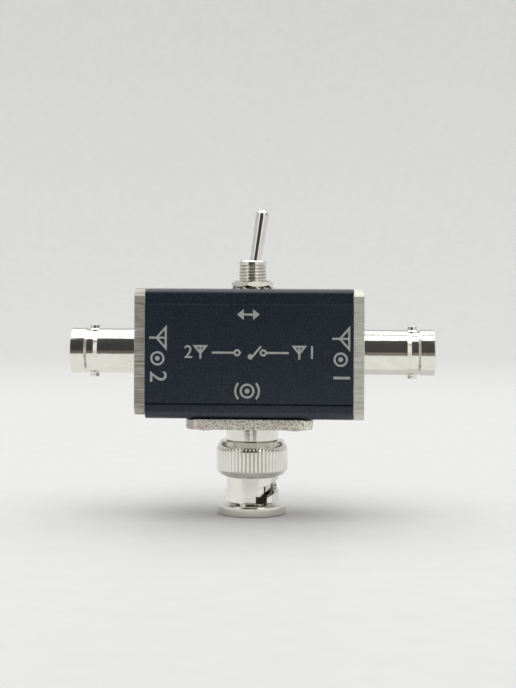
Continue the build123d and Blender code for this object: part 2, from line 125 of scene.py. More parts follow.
def turned(section, around=128, closed=True):
    """Solid turned about Z from the (radius, height) points of its section."""
    bm = bmesh.new()
    rings = []
    for radius, height in section:
        count = around if radius else 1
        turns = [2 * math.pi * i / around for i in range(count)]
        rings.append([bm.verts.new((radius * math.cos(a), radius * math.sin(a), height))
                      for a in turns])
    following = rings[1:] + rings[:1] if closed else rings[1:]
    for lower, upper in zip(rings, following):
        if len(lower) == 1 and len(upper) == 1:
            continue
        for i in range(around):
            a, b, c, d = (side[k % len(side)] for side, k in
                          ((lower, i), (lower, i + 1), (upper, i + 1), (upper, i)))
            bm.faces.new(dict.fromkeys((a, b, c, d)))
    return shaped(closed_mesh(bm))


def settled(shape):
    """Put the result of a shape's modifiers in place of its mesh."""
    depsgraph = bpy.context.evaluated_depsgraph_get()
    mesh = bpy.data.meshes.new_from_object(shape.evaluated_get(depsgraph))
    shape.modifiers.clear()
    shape.data = mesh


def carved(shape, tool, operation="DIFFERENCE"):
    """Cut a tool from a shape, or weld it on, and use the tool up."""
    modifier = shape.modifiers.new("carve", "BOOLEAN")
    modifier.solver = "EXACT"
    modifier.operation = operation
    modifier.object = tool
    settled(shape)
    bpy.data.objects.remove(tool)
    return shape


def placed(shape, *moves):
    """Move a shape's mesh by each matrix in turn."""
    for move in moves:
        shape.data.transform(move)
    return shape


def finished(name, shape, body, slot, finish, *stands_for, crease=32.0):
    """Bring a shape to metres, shade it, and fasten it to the body of the nodes it stands for."""
    shape.name = name
    shape.data.transform(Matrix.Scale(mm, 4))
    shape.data.materials.clear()
    shape.data.materials.append(finish)
    shape.data.shade_smooth()
    shape.data.set_sharp_from_angle(angle=math.radians(crease))
    weights = shape.modifiers.new("weights", "WEIGHTED_NORMAL")
    weights.keep_sharp = True
    settled(shape)
    shape.data.name = name
    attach(shape, body)
    if stands_for:
        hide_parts(*stands_for)
    return shape


def surface(name, metallic, **settings):
    """New finish: its material, node tree, shader and the piece's own coordinates."""
    material = bpy.data.materials.new(name)
    material.use_nodes = True
    tree = material.node_tree
    shader = tree.nodes["Principled BSDF"]
    shader.inputs["Metallic"].default_value = metallic
    for socket, value in settings.items():
        shader.inputs[socket.replace("_", " ")].default_value = value
    return material, tree, shader, tree.nodes.new("ShaderNodeTexCoord").outputs["Object"]


def grain(tree, place, size, stretch=(1, 1, 1), detail=3.0):
    """Noise with grains of about the given size, longer along an axis with a small stretch."""
    mapping = tree.nodes.new("ShaderNodeMapping")
    mapping.inputs["Scale"].default_value = [share / (size * mm) for share in stretch]
    noise = tree.nodes.new("ShaderNodeTexNoise")
    noise.inputs["Scale"].default_value = 1.0
    noise.inputs["Detail"].default_value = detail
    tree.links.new(place, mapping.inputs["Vector"])
    tree.links.new(mapping.outputs["Vector"], noise.inputs["Vector"])
    return noise.outputs["Fac"]


def spread(tree, value, low, high, start=0.3, stop=0.7):
    """Noise from its usual span to a span of its own."""
    span = tree.nodes.new("ShaderNodeMapRange")
    for socket, number in (("From Min", start), ("From Max", stop), ("To Min", low),
                           ("To Max", high)):
        span.inputs[socket].default_value = number
    tree.links.new(value, span.inputs["Value"])
    return span.outputs["Result"]


def tint(tree, share, first, second):
    """Colour between two others, which are colours or the outputs of nodes."""
    mix = tree.nodes.new("ShaderNodeMix")
    mix.data_type = "RGBA"
    for socket, colour in (("A", first), ("B", second)):
        target = next(s for s in mix.inputs if s.name == socket and s.type == "RGBA")
        if isinstance(colour, bpy.types.NodeSocket):
            tree.links.new(colour, target)
        else:
            target.default_value = (*colour, 1.0)
    tree.links.new(share, mix.inputs["Factor"])
    return next(s for s in mix.outputs if s.type == "RGBA")


def maths(tree, operation, *values):
    """Math node on numbers or the outputs of other nodes."""
    node = tree.nodes.new("ShaderNodeMath")
    node.operation = operation
    for socket, value in zip(node.inputs, values):
        if isinstance(value, bpy.types.NodeSocket):
            tree.links.new(value, socket)
        else:
            socket.default_value = value
    return node.outputs[0]


def relief(tree, shader, *layers):
    """Fine relief from (height, depth in millimetres) layers, one over the other."""
    below = None
    for height, depth in layers:
        bump = tree.nodes.new("ShaderNodeBump")
        bump.inputs["Strength"].default_value = 1.0
        bump.inputs["Distance"].default_value = depth * mm
        tree.links.new(height, bump.inputs["Height"])
        if below:
            tree.links.new(below, bump.inputs["Normal"])
        below = bump.outputs["Normal"]
    tree.links.new(below, shader.inputs["Normal"])


def anodised_black():
    """Dyed anodising over the marks of the extrusion die, with painted shade along the panel's lower step.
    """
    material, tree, shader, place = surface("anodised_black", 0.0, IOR=1.55)
    cloud = grain(tree, place, 2.4)
    mottle = grain(tree, place, 0.16, detail=4.0)
    die_lines = grain(tree, place, 0.22, (0.02, 1, 1))
    dust = grain(tree, place, 0.26, detail=0.0)
    body = tint(tree, spread(tree, cloud, 0, 1), (0.0068, 0.0148, 0.027), (0.0092, 0.0185, 0.033))
    worn = tint(tree, spread(tree, mottle, 0, 0.3, 0.45, 0.75), body, (0.022, 0.034, 0.048))
    dusty = tint(tree, spread(tree, dust, 0, 0.22, 0.77, 0.82), worn, (0.2, 0.21, 0.21))
    height = tree.nodes.new("ShaderNodeSeparateXYZ")
    tree.links.new(place, height.inputs[0])
    # Painted shade: a thin band along the raised panel's lower step is darkened and given less shine.
    lower_step = (tube_low.z + panel_margin + panel_slope * 0.3) * mm
    painted_shade = maths(tree, "LESS_THAN", maths(tree, "ABSOLUTE", maths(
        tree, "SUBTRACT", height.outputs["Z"], lower_step)), 0.2 * mm)
    tree.links.new(tint(tree, painted_shade, dusty, (0.008, 0.011, 0.016)), shader.inputs["Base Color"])
    tree.links.new(maths(tree, "MULTIPLY_ADD", painted_shade, -0.45, 0.5), shader.inputs["Specular IOR Level"])
    tree.links.new(spread(tree, mottle, 0.22, 0.34), shader.inputs["Roughness"])
    relief(tree, shader, (mottle, 0.004), (die_lines, 0.002))
    return material


tube_low, tube_high = (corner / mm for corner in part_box("extruded_tube"))
tube_middle = (tube_low + tube_high) / 2
tube_half = (tube_high - tube_low) / 2
tube_corner = 1.5
panel_rise = 0.25
panel_margin = 3.05
panel_slope = 0.14
panel_ease = 0.05
tube_wall = 1.8
rib_place = 10.1
rib_radius = 2.3
tapped_radius = 1.25
flange_screw_place = 9.13
spigot_hole_radius = 6.05
bushing_hole_radius = 3.08
over = 0.5


def tube_outline():
    """Outside of the extrusion, with sloping steps up to its two raised panels."""
    side = tube_half.y - panel_rise
    step = tube_half.z - panel_margin
    quarter = [(side, step, panel_ease), (side, tube_half.z, tube_corner)]
    raised = [(tube_half.y, step - panel_slope, panel_ease)]
    corners = raised + quarter
    corners += [(-y, z, r) for y, z, r in reversed(corners)]
    corners += [(-y, -z, r) for y, z, r in corners]
    return eased(corners, 6)


def tube_bore():
    """Inside of the extrusion: a square opening with a round rib in each corner."""
    wall_y = tube_half.y - panel_rise - tube_wall - rib_place
    wall_z = tube_half.z - tube_wall - rib_place
    start = 2 * math.pi - math.acos(wall_y / rib_radius)
    stop = math.pi - math.asin(wall_z / rib_radius)
    turns = [start + (stop - start) * i / 16 for i in range(17)]
    rib = [(rib_place + rib_radius * math.cos(a), rib_place + rib_radius * math.sin(a))
           for a in turns]
    outline = []
    for y, z in ((1, 1), (-1, 1), (-1, -1), (1, -1)):
        outline += [(y * p, z * q) for p, q in (rib if y * z > 0 else reversed(rib))]
    return outline


signs = [(x, y) for x in (-1, 1) for y in (-1, 1)]
along_x = Matrix(((0, 0, 1, 0), (1, 0, 0, 0), (0, 1, 0, 0), (0, 0, 0, 1)))
tapped_holes = [ring(tapped_radius, 24, y * rib_place, z * rib_place) for y, z in signs]
tube = slab([tube_outline(), tube_bore()] + tapped_holes, -tube_half.x, tube_half.x)
placed(tube, along_x, Matrix.Translation(tube_middle))
top_hole = [(0, tube_high.z - tube_wall - over), (bushing_hole_radius, tube_high.z - tube_wall - over),
            (bushing_hole_radius, tube_high.z + over), (0, tube_high.z + over)]
carved(tube, turned(top_hole, 64))
bottom_hole = [(0, tube_low.z - over), (spigot_hole_radius, tube_low.z - over),
               (spigot_hole_radius, tube_low.z + tube_wall + over), (0, tube_low.z + tube_wall + over)]
carved(tube, turned(bottom_hole, 96))
flange_hole = [(0, tube_low.z - over), (tapped_radius, tube_low.z - over),
               (tapped_radius, tube_low.z + tube_wall + over), (0, tube_low.z + tube_wall + over)]
for x, y in signs:
    place = Matrix.Translation((x * flange_screw_place, y * flange_screw_place, 0))
    carved(tube, placed(turned(flange_hole, 24), place))
black = anodised_black()
finished("anodised_tube", tube, "housing", "black_anodised", black, "extruded_tube")

# ---- marks on the front panel ----
# Signs burnt through the anodising by a laser, which leaves the bare metal dull and pale. They
# are an aerial and a number at each jack, a two-way switch between them, and the way of the lever.
stroke = 0.42
mark_height = 0.012


def band(points, loop=False, width=stroke):
    """Outlines of a stroke that follows the points, mitred at its corners."""
    points = [Vector(p) for p in points]
    count = len(points)
    sides = ([], [])
    for i, point in enumerate(points):
        before = points[i] - points[i - 1] if loop or i else points[1] - points[0]
        after = points[(i + 1) % count] - points[i] if loop or i < count - 1 else before
        normal = (before.normalized() + after.normalized()).orthogonal().normalized()
        reach = width / 2 / max(0.3, normal.dot(after.normalized().orthogonal()))
        sides[0].append(point + normal * reach)
        sides[1].append(point - normal * reach)
    if loop:
        return [sides[0], sides[1]]
    return [sides[0] + sides[1][::-1]]


def mark(outlines):
    """One sign, as thick as the laser's burr."""
    return slab(outlines, 0, mark_height)


def digit(text, size):
    """Plain numeral, centred on its place."""
    curve = bpy.data.curves.new("numeral", "FONT")
    curve.body = text
    curve.size = size
    curve.align_x = "CENTER"
    curve.align_y = "CENTER"
    curve.extrude = mark_height / 2
    curve.offset = 0.02
    numeral = shaped(curve)
    bm = bmesh.new()
    bm.from_mesh(bpy.data.meshes.new_from_object(numeral))
    bmesh.ops.translate(bm, verts=bm.verts, vec=(0, 0, mark_height / 2))
    bpy.data.objects.remove(numeral)
    return shaped(closed_mesh(bm))


def joined(shapes):
    """Separate solids as one shape."""
    bm = bmesh.new()
    for shape in shapes:
        bm.from_mesh(shape.data)
        bpy.data.objects.remove(shape)
    mesh = bpy.data.meshes.new("shape")
    bm.to_mesh(mesh)
    bm.free()
    return shaped(mesh)


def aerial(width, height):
    """Aerial sign: an open triangle on a mast."""
    top = height / 2
    foot = top - 0.55 * height
    dish = mark(band([(-width / 2, top), (width / 2, top), (0, foot)], loop=True))
    return carved(dish, mark(band([(0, top), (0, -height / 2)])), "UNION")


def two_way_switch(length, height):
    """Switch sign: a feed below a slanting arm, between two contacts with their leads."""
    dot = height * 0.2
    contact = length * 0.17
    shapes = []
    for side in (-1, 1):
        lead = mark(band([(side * (contact + dot), 0), (side * length / 2, 0)]))
        shapes.append(carved(lead, mark([ring(dot + stroke / 2, 32, side * contact),
                                         ring(dot - stroke / 2, 32, side * contact)]), "UNION"))
    arm = mark(band([(0, -height / 2), (contact * 0.82, height / 2)]))
    shapes.append(carved(arm, mark([ring(dot, 32, 0, -height / 2 + dot)]), "UNION"))
    return joined(shapes)


def double_arrow(length, height):
    """Arrow with a head at each end."""
    head = height * 0.62
    tip, waist = length / 2, length / 2 - head
    outline = [(tip, 0), (waist, height / 2), (waist, stroke / 2), (-waist, stroke / 2),
               (-waist, height / 2), (-tip, 0), (-waist, -height / 2), (-waist, -stroke / 2),
               (waist, -stroke / 2), (waist, -height / 2)]
    return mark([outline])


def coaxial_port(radius):
    """Ring round a centre contact."""
    shell = mark([ring(radius), ring(radius - stroke)])
    return joined([shell, mark([ring(radius * 0.34, 32)])])


def waves(radius, half_angle):
    """Arc of a spreading wave on each side of a source."""
    shapes = []
    for side in (0, 180):
        turns = [math.radians(side - half_angle + half_angle * i / 6) for i in range(13)]
        shapes.append(mark(band([(radius * math.cos(a), radius * math.sin(a)) for a in turns])))
    return joined(shapes)


def at(x, z, turn=0.0):
    """Place on the front panel, in the part's own X and Z, turned clockwise."""
    return (Matrix.Translation((x, tube_low.y, z)) @ Matrix.Rotation(math.radians(90), 4, "X")
            @ Matrix.Rotation(math.radians(-turn), 4, "Z"))


def burnt_metal():
    """Bare aluminium left rough and grey by the laser."""
    material, tree, shader, place = surface("burnt_metal", 0.2, Specular_IOR_Level=0.4)
    speck = grain(tree, place, 0.12, detail=4.0)
    tree.links.new(tint(tree, spread(tree, speck, 0, 1), (0.29, 0.31, 0.3), (0.46, 0.48, 0.46)),
                   shader.inputs["Base Color"])
    tree.links.new(spread(tree, speck, 0.5, 0.7), shader.inputs["Roughness"])
    relief(tree, shader, (speck, 0.01))
    return material


axis_z = tube_middle.z
signs_on_panel = []
for x, number in ((-18.6, "2"), (18.6, "1")):
    signs_on_panel += [placed(aerial(4.2, 3.4), at(x, axis_z + 3.3, 90)),
                       placed(coaxial_port(1.45), at(x, axis_z - 0.9)),
                       placed(digit(number, 4.9), at(x, axis_z - 4.6, 90))]
for x, number in ((-12.3, "2"), (12.8, "1")):
    signs_on_panel.append(placed(digit(number, 3.7), at(x, axis_z + 0.35)))
    signs_on_panel.append(placed(aerial(2.3, 2.6), at(x * 0.8, axis_z + 0.35)))
signs_on_panel += [placed(two_way_switch(15.6, 2.6), at(0.3, axis_z + 0.35)),
                   placed(double_arrow(4.6, 2.2), at(-0.1, axis_z + 8.1)),
                   placed(coaxial_port(1.5), at(-0.3, axis_z - 7.4)),
                   placed(waves(2.4, 42), at(-0.3, axis_z - 7.4))]
finished("panel_marks", joined(signs_on_panel), "housing", "black_anodised", burnt_metal())

# ---- end plates ----
# Each end is closed by a square plate, sawn from drawn aluminium bar and left bare. The saw leaves
# fine lines across its edges, and its corners are rounded and broken by hand.
plate_corner = 1.45
plate_edge = 0.22
plate_ease = 0.25
plate_half = tube_half.z
plate_thickness = 2.25
jack_bore_radius = 4.75
jack_seat_radius = 5.65
jack_seat_depth = 1.0
screw_place = rib_place
screw_head_radius = 2.35
screw_radius = 1.2
hole_gap = 0.05


def sawn_aluminium(name, dark, light, groove):
    """Bare aluminium with saw lines across the thickness, stained between them."""
    material, tree, shader, place = surface(name, 0.75)
    saw = grain(tree, place, 0.2, (0.05, 1, 1), 5.0)
    band_lines = grain(tree, place, 0.7, (0.06, 1, 1))
    stain = grain(tree, place, 1.6, (0.3, 1, 1))
    speck = grain(tree, place, 0.1)
    warm = tint(tree, spread(tree, stain, 0, 1), dark, light)
    banded = tint(tree, spread(tree, band_lines, 0, 0.5, 0.45, 0.65), warm, groove)
    lined = tint(tree, spread(tree, saw, 0, 0.9, 0.42, 0.66), banded, groove)
    tree.links.new(lined, shader.inputs["Base Color"])
    tree.links.new(spread(tree, stain, 0.44, 0.6), shader.inputs["Roughness"])
    relief(tree, shader, (saw, 0.03), (speck, 0.003))
    return material


def countersink(top, depth, gap=0.0, straight=0.0):
    """Section of a countersunk screw or its hole, with its wide end at the given height."""
    slope = screw_head_radius - screw_radius
    return [(0, top + straight), (screw_head_radius + gap, top + straight),
            (screw_head_radius + gap, top), (screw_radius + gap, top - slope),
            (screw_radius + gap, top - depth), (0, top - depth)]


def end_plate(sunk):
    """Plate about the jack's axis, inner face at height 0, its upper edge sunk below the tube's."""
    top, side, cut = plate_half - sunk, plate_half, plate_corner
    corners = [(side, top - cut), (side - cut, top), (cut - side, top), (-side, top - cut),
               (-side, cut - side), (cut - side, -side), (side - cut, -side), (side, cut - side)]
    turned_up = Matrix.Rotation(math.radians(90), 2)
    plate = slab([eased([(*(turned_up @ Vector(c)), plate_ease) for c in corners], 3)], 0,
                 plate_thickness, plate_edge, 1)
    seat = plate_thickness - jack_seat_depth
    step = [(0, -over), (jack_bore_radius, -over), (jack_bore_radius, seat),
            (jack_seat_radius, seat), (jack_seat_radius, plate_thickness + over),
            (0, plate_thickness + over)]
    carved(plate, turned(step, 96))
    for x, y in signs:
        hole = turned(countersink(plate_thickness, plate_thickness + over, hole_gap, over), 48)
        carved(plate, placed(hole, Matrix.Translation((x * screw_place, y * screw_place, 0))))
    return plate


sides = {
    "left": Matrix.Translation((tube_low.x, 0, axis_z)) @ Matrix.Rotation(math.radians(-90), 4, "Y"),
    "right": Matrix.Translation((tube_high.x, 0, axis_z)) @ Matrix.Rotation(math.radians(90), 4, "Y"),
}
# Two copies of one finish: the left plate's is darker, as painted shade, and the right plate's is lighter,
# as painted light.
aluminium_shaded_left_lit_right = {
    "left": sawn_aluminium("sawn_aluminium_left", (0.5, 0.485, 0.44), (0.61, 0.615, 0.585),
                           (0.23, 0.19, 0.14)),
    "right": sawn_aluminium("sawn_aluminium_right", (0.67, 0.69, 0.62), (0.74, 0.755, 0.69),
                            (0.5, 0.49, 0.41))}
sunk = {"left": 0.75, "right": 0.0}
for side, place in sides.items():
    finished(f"sawn_plate_{side}", placed(end_plate(sunk[side]), place), "housing",
             "plate_aluminium", aluminium_shaded_left_lit_right[side], f"end_plate_{side}")

# ---- end plate screws ----
# Four M2.5 countersunk screws of plated steel hold each plate to the tube's ribs. Their heads are
# forged with a cross recess and lie just below the plate's face, each stopped at its own turn.
recess_span = 2.5
recess_width = 0.55
recess_depth = 1.0


def crossed(span, width):
    """Outline of a cross."""
    outline = []
    for turn in range(4):
        arm = ((span / 2, -width / 2), (span / 2, width / 2), (width / 2, width / 2))
        spin = Matrix.Rotation(math.radians(90 * turn), 2)
        outline += [spin @ Vector(point) for point in arm]
    return outline


def lofted(levels):
    """Closed solid through outlines with equal counts of points, each at its own height."""
    bm = bmesh.new()
    rings = [[bm.verts.new((x, y, height)) for x, y in outline] for outline, height in levels]
    for lower, upper in zip(rings, rings[1:]):
        for i in range(len(lower)):
            bm.faces.new((lower[i - 1], lower[i], upper[i], upper[i - 1]))
    bm.faces.new(rings[0])
    bm.faces.new(rings[-1])
    return shaped(closed_mesh(bm))


def screw(section, top, around=48):
    """Screw from its section, with a cross recess whose walls lean in."""
    body = turned(section, around)
    recess = lofted([(crossed(recess_span * 1.1, recess_width * 1.15), top + 0.1),
                     (crossed(recess_span, recess_width), top),
                     (crossed(recess_span * 0.45, recess_width * 0.7), top - recess_depth)])
    return carved(body, recess)


def plated_steel():
    """Bright zinc on steel, scratched by the driver."""
    material, tree, shader, place = surface("plated_steel", 1.0)
    scratch = grain(tree, place, 0.12, (1, 0.15, 1), 4.0)
    cloud = grain(tree, place, 0.8)
    tree.links.new(tint(tree, spread(tree, cloud, 0, 1), (0.56, 0.55, 0.52), (0.7, 0.69, 0.66)),
                   shader.inputs["Base Color"])
    tree.links.new(spread(tree, scratch, 0.16, 0.34), shader.inputs["Roughness"])
    relief(tree, shader, (scratch, 0.003), (cloud, 0.01))
    return material


def sockets(tree, *inputs):
    """Named inputs and the geometry output of a node tree."""
    for name, kind in inputs:
        tree.interface.new_socket(name, in_out="INPUT", socket_type=f"NodeSocket{kind}")
    tree.interface.new_socket("Geometry", in_out="OUTPUT", socket_type="NodeSocketGeometry")
    return tree.nodes.new("NodeGroupInput"), tree.nodes.new("NodeGroupOutput")


def driven(shape, tree, **values):
    """Run a node tree on a shape with its inputs set by name, and keep the plain mesh."""
    modifier = shape.modifiers.new(tree.name, "NODES")
    modifier.node_group = tree
    for item in tree.interface.items_tree:
        key = item.name.replace(" ", "_").lower()
        if item.in_out == "INPUT" and key in values:
            modifier[item.identifier] = values[key]
    settled(shape)
    return shape


def screw_pattern():
    """Node tree that sets a screw at each corner of a square, each at its own turn."""
    tree = bpy.data.node_groups.new("screw_pattern", "GeometryNodeTree")
    given, out = sockets(tree, ("Screw", "Object"), ("Pitch", "Float"), ("Seed", "Int"),
                         ("Finish", "Material"))
    grid = tree.nodes.new("GeometryNodeMeshGrid")
    grid.inputs["Vertices X"].default_value = 2
    grid.inputs["Vertices Y"].default_value = 2
    template = tree.nodes.new("GeometryNodeObjectInfo")
    turn = tree.nodes.new("FunctionNodeRandomValue")
    turn.data_type = "FLOAT_VECTOR"
    turn.inputs[0].default_value = (0, 0, 0)
    turn.inputs[1].default_value = (0, 0, 2 * math.pi)
    instances = tree.nodes.new("GeometryNodeInstanceOnPoints")
    realize = tree.nodes.new("GeometryNodeRealizeInstances")
    finish = tree.nodes.new("GeometryNodeSetMaterial")
    link = tree.links.new
    link(given.outputs["Pitch"], grid.inputs["Size X"])
    link(given.outputs["Pitch"], grid.inputs["Size Y"])
    link(given.outputs["Screw"], template.inputs["Object"])
    link(given.outputs["Seed"], turn.inputs["Seed"])
    link(grid.outputs["Mesh"], instances.inputs["Points"])
    link(template.outputs["Geometry"], instances.inputs["Instance"])
    link(turn.outputs[0], instances.inputs["Rotation"])
    link(instances.outputs["Instances"], realize.inputs["Geometry"])
    link(realize.outputs["Geometry"], finish.inputs["Geometry"])
    link(given.outputs["Finish"], finish.inputs["Material"])
    link(finish.outputs["Geometry"], out.inputs["Geometry"])
    return tree


steel = plated_steel()
screw_tree = screw_pattern()
screw_length = 8.0
head_top = plate_thickness - hole_gap
plate_screw = screw(countersink(head_top, screw_length), head_top)
for seed, (side, place) in enumerate(sides.items()):
    screws = driven(shaped(bpy.data.meshes.new("screws")), screw_tree, screw=plate_screw,
                    pitch=2 * screw_place, seed=seed, finish=steel)
    finished(f"plate_screws_{side}", placed(screws, place), "housing", "screw_steel", steel,
             f"end_plate_screws_{side}")
bpy.data.objects.remove(plate_screw)

# ---- antenna jacks ----
# Each jack's shell is turned from brass and plated with bright nickel, with two bayonet lugs
# pressed in beside a shallow groove. A white fluoropolymer insulator holds its gold plated socket.
jack_tip = 17.15
jack_tail = -3.6
barrel_radius = 4.825
barrel_edge = 0.2
lip_length = 3.0
groove_length = 2.8
groove_depth = 0.34
front_ramp = 0.5
back_ramp = 0.85
ramp_ease = 0.18
rear_radius = 4.75
lug_setback = 4.65
lug_radius = 1.0
lug_reach = 5.5
lug_flare = 0.3
mouth_radius = 4.06
mouth_depth = 8.4
insulator_radius = 3.0
jack_thread_radius = 4.7
shoulder_radius = 5.6
nose_radius = 2.36
nose_setback = 3.2
contact_radius = 1.1
contact_setback = 3.4
contact_tail = -7.1
socket_radius = 0.69
socket_depth = 5.0
socket_slot = 0.3


def bright_nickel(name, lines, wave):
    """Bright nickel over turning lines, which run across the stretched axis, with painted shade in furrows.
    """
    material, tree, shader, place = surface(name, 1.0)
    cloud = grain(tree, place, 2.4)
    ripple = grain(tree, place, 0.5)
    fine = grain(tree, place, 0.26)
    turning = grain(tree, place, 0.06, lines, 2.0)
    stain = grain(tree, place, 3.0)
    plate = tint(tree, spread(tree, stain, 0, 1), (0.78, 0.77, 0.71), (0.83, 0.825, 0.775))
    spots = tint(tree, spread(tree, fine, 0, 0.35, 0.62, 0.8), plate, (0.5, 0.48, 0.43))
    # Painted shade: the plating is darkened where the knurl's and thread's furrows sink in.
    rolled = tree.nodes.new("ShaderNodeAttribute")
    rolled.attribute_name = "furrow"
    shade_painted_in_furrows = tint(tree, maths(tree, "MULTIPLY", rolled.outputs["Fac"], 0.35), spots,
                      (0.3, 0.29, 0.25))
    tree.links.new(shade_painted_in_furrows, shader.inputs["Base Color"])
    tree.links.new(spread(tree, fine, 0.05, 0.16), shader.inputs["Roughness"])
    relief(tree, shader, (cloud, 0.014), (ripple, wave), (fine, wave * 0.5), (turning, 0.0004))
    return material


def jack_shell():
    """Shell about its own axis, with the plate's inner face at height 0."""
    groove = barrel_radius - groove_depth
    front = jack_tip - lip_length
    back = front - groove_length
    seat = plate_thickness - jack_seat_depth
    section = eased([
        (insulator_radius, jack_tail, 0), (jack_thread_radius, jack_tail, 0.15),
        (jack_thread_radius, seat, 0), (shoulder_radius, seat, 0),
        (shoulder_radius, plate_thickness, 0.1), (rear_radius, plate_thickness, 0.12),
        (rear_radius, back, ramp_ease), (groove, back + back_ramp, ramp_ease),
        (groove, front - front_ramp, ramp_ease), (barrel_radius, front, ramp_ease),
        (barrel_radius, jack_tip, barrel_edge), (mouth_radius, jack_tip, barrel_edge),
        (mouth_radius, jack_tip - mouth_depth, 0), (insulator_radius, jack_tip - mouth_depth, 0)])
    shell = turned(section, 160)
    root = (mouth_radius + groove) / 2
    stud = eased([(0, root, 0), (lug_radius + lug_flare, root, 0),
                  (lug_radius + lug_flare, groove, 0), (lug_radius, groove + lug_flare, 0.3),
                  (lug_radius, lug_reach, 0.15), (0, lug_reach, 0)])
    for turn in (0, 180):
        lug = placed(turned(stud, 48), Matrix.Rotation(math.radians(90), 4, "Y"),
                     Matrix.Translation((0, 0, jack_tip - lug_setback)),
                     Matrix.Rotation(math.radians(turn), 4, "Z"))
        carved(shell, lug, "UNION")
    return shell


def jack_insulator():
    """Insulator with a nose that stands up round the socket."""
    nose = jack_tip - nose_setback
    seat = jack_tip - mouth_depth
    bore = contact_radius + 0.02
    wide = insulator_radius - 0.02
    return turned(eased([(bore, jack_tail, 0), (wide, jack_tail, 0), (wide, seat, 0.05),
                         (nose_radius, seat, 0), (nose_radius, nose, 0.15), (bore, nose, 0.1)]), 96)


def jack_socket():
    """Split socket on a solder cup."""
    front = jack_tip - contact_setback
    cup_depth, cup_radius = 1.5, 0.5
    socket = turned(eased([
        (0, contact_tail + cup_depth, 0), (cup_radius, contact_tail + cup_depth, 0),
        (cup_radius, contact_tail, 0), (contact_radius, contact_tail, 0.05),
        (contact_radius, front, 0.15), (socket_radius, front, 0.15),
        (socket_radius, front - socket_depth, 0), (0, front - socket_depth, 0)]), 64)
    length = 0.7 * socket_depth
    split = slab([[(x * 2, y * socket_slot / 2) for x, y in ((1, 1), (-1, 1), (-1, -1), (1, -1))]],
                 front - length, front + over)
    return carved(socket, split)


def fluoropolymer():
    """Waxy white fluoropolymer with faint turning marks."""
    material, tree, shader, place = surface("fluoropolymer", 0.0, Subsurface_Weight=0.15)
    shader.inputs["Subsurface Radius"].default_value = (0.001, 0.001, 0.001)
    cloud = grain(tree, place, 0.6)
    tree.links.new(tint(tree, spread(tree, cloud, 0, 1), (0.8, 0.8, 0.77), (0.88, 0.88, 0.86)),
                   shader.inputs["Base Color"])
    tree.links.new(spread(tree, cloud, 0.38, 0.5), shader.inputs["Roughness"])
    relief(tree, shader, (cloud, 0.004))
    return material


def gold_plate():
    """Thin gold on machined brass, a little duller where parts have rubbed."""
    material, tree, shader, place = surface("gold_plate", 1.0)
    cloud = grain(tree, place, 0.5)
    tree.links.new(tint(tree, spread(tree, cloud, 0, 1), (0.86, 0.62, 0.26), (0.94, 0.73, 0.36)),
                   shader.inputs["Base Color"])
    tree.links.new(spread(tree, cloud, 0.14, 0.28), shader.inputs["Roughness"])
    relief(tree, shader, (cloud, 0.003))
    return material


nickel_on_jacks = bright_nickel("nickel_on_jacks", (1, 0.02, 0.02), 0.008)
white_insulation = fluoropolymer()
gold = gold_plate()
for side, place in sides.items():
    finished(f"jack_barrel_{side}", placed(jack_shell(), place), "housing", "bright_nickel",
             nickel_on_jacks, f"jack_shell_{side}")
    finished(f"jack_dielectric_{side}", placed(jack_insulator(), place), "housing", "ptfe",
             white_insulation, f"jack_insulator_{side}")
    finished(f"jack_socket_{side}", placed(jack_socket(), place), "housing", "gold_brass",
             gold, f"jack_contact_{side}")

# ---- plug flange and its screws ----
# The plug is fixed under the tube by a square flange, die cast in zinc and nickel plated. Its
# edges keep the rough skin of the mould, while the round collar below it is turned bright.
flange_low, flange_high = (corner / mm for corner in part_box("plug_flange"))
flange_half = flange_high.x
collar_radius = 5.6
collar_height = 3.22
flange_bottom = flange_low.z + collar_height
flange_thickness = tube_low.z - flange_bottom
flange_corner = 2.9
flange_edge = 0.26
spigot_radius = 5.9
flange_bore = 3.97
spigot_top_bore = 2.2
spigot_floor = 0.8
painted_shade_start, painted_shade_end = -0.0112, -0.0108


def mould_skin():
    """Plated casting with a pitted grain, as the mould left it, and painted shade at its left end."""
    material, tree, shader, place = surface("mould_skin", 1.0)
    pits = grain(tree, place, 0.42, detail=4.0)
    lumps = grain(tree, place, 0.9)
    stain = grain(tree, place, 2.6)
    warm = tint(tree, spread(tree, stain, 0, 1, 0.4, 0.65), (0.88, 0.89, 0.8), (0.88, 0.79, 0.73))
    pitted = tint(tree, spread(tree, pits, 0, 0.9, 0.48, 0.64), warm, (0.32, 0.3, 0.24))
    across = tree.nodes.new("ShaderNodeSeparateXYZ")
    tree.links.new(place, across.inputs[0])
    # Painted shade: the flange is darkened towards its left end.
    painted_shade = spread(tree, across.outputs["X"], 0.6, 0, painted_shade_start, painted_shade_end)
    tree.links.new(tint(tree, painted_shade, pitted, (0.3, 0.28, 0.24)), shader.inputs["Base Color"])
    tree.links.new(spread(tree, pits, 0.28, 0.5), shader.inputs["Roughness"])
    relief(tree, shader, (lumps, 0.05), (pits, 0.12))
    return material


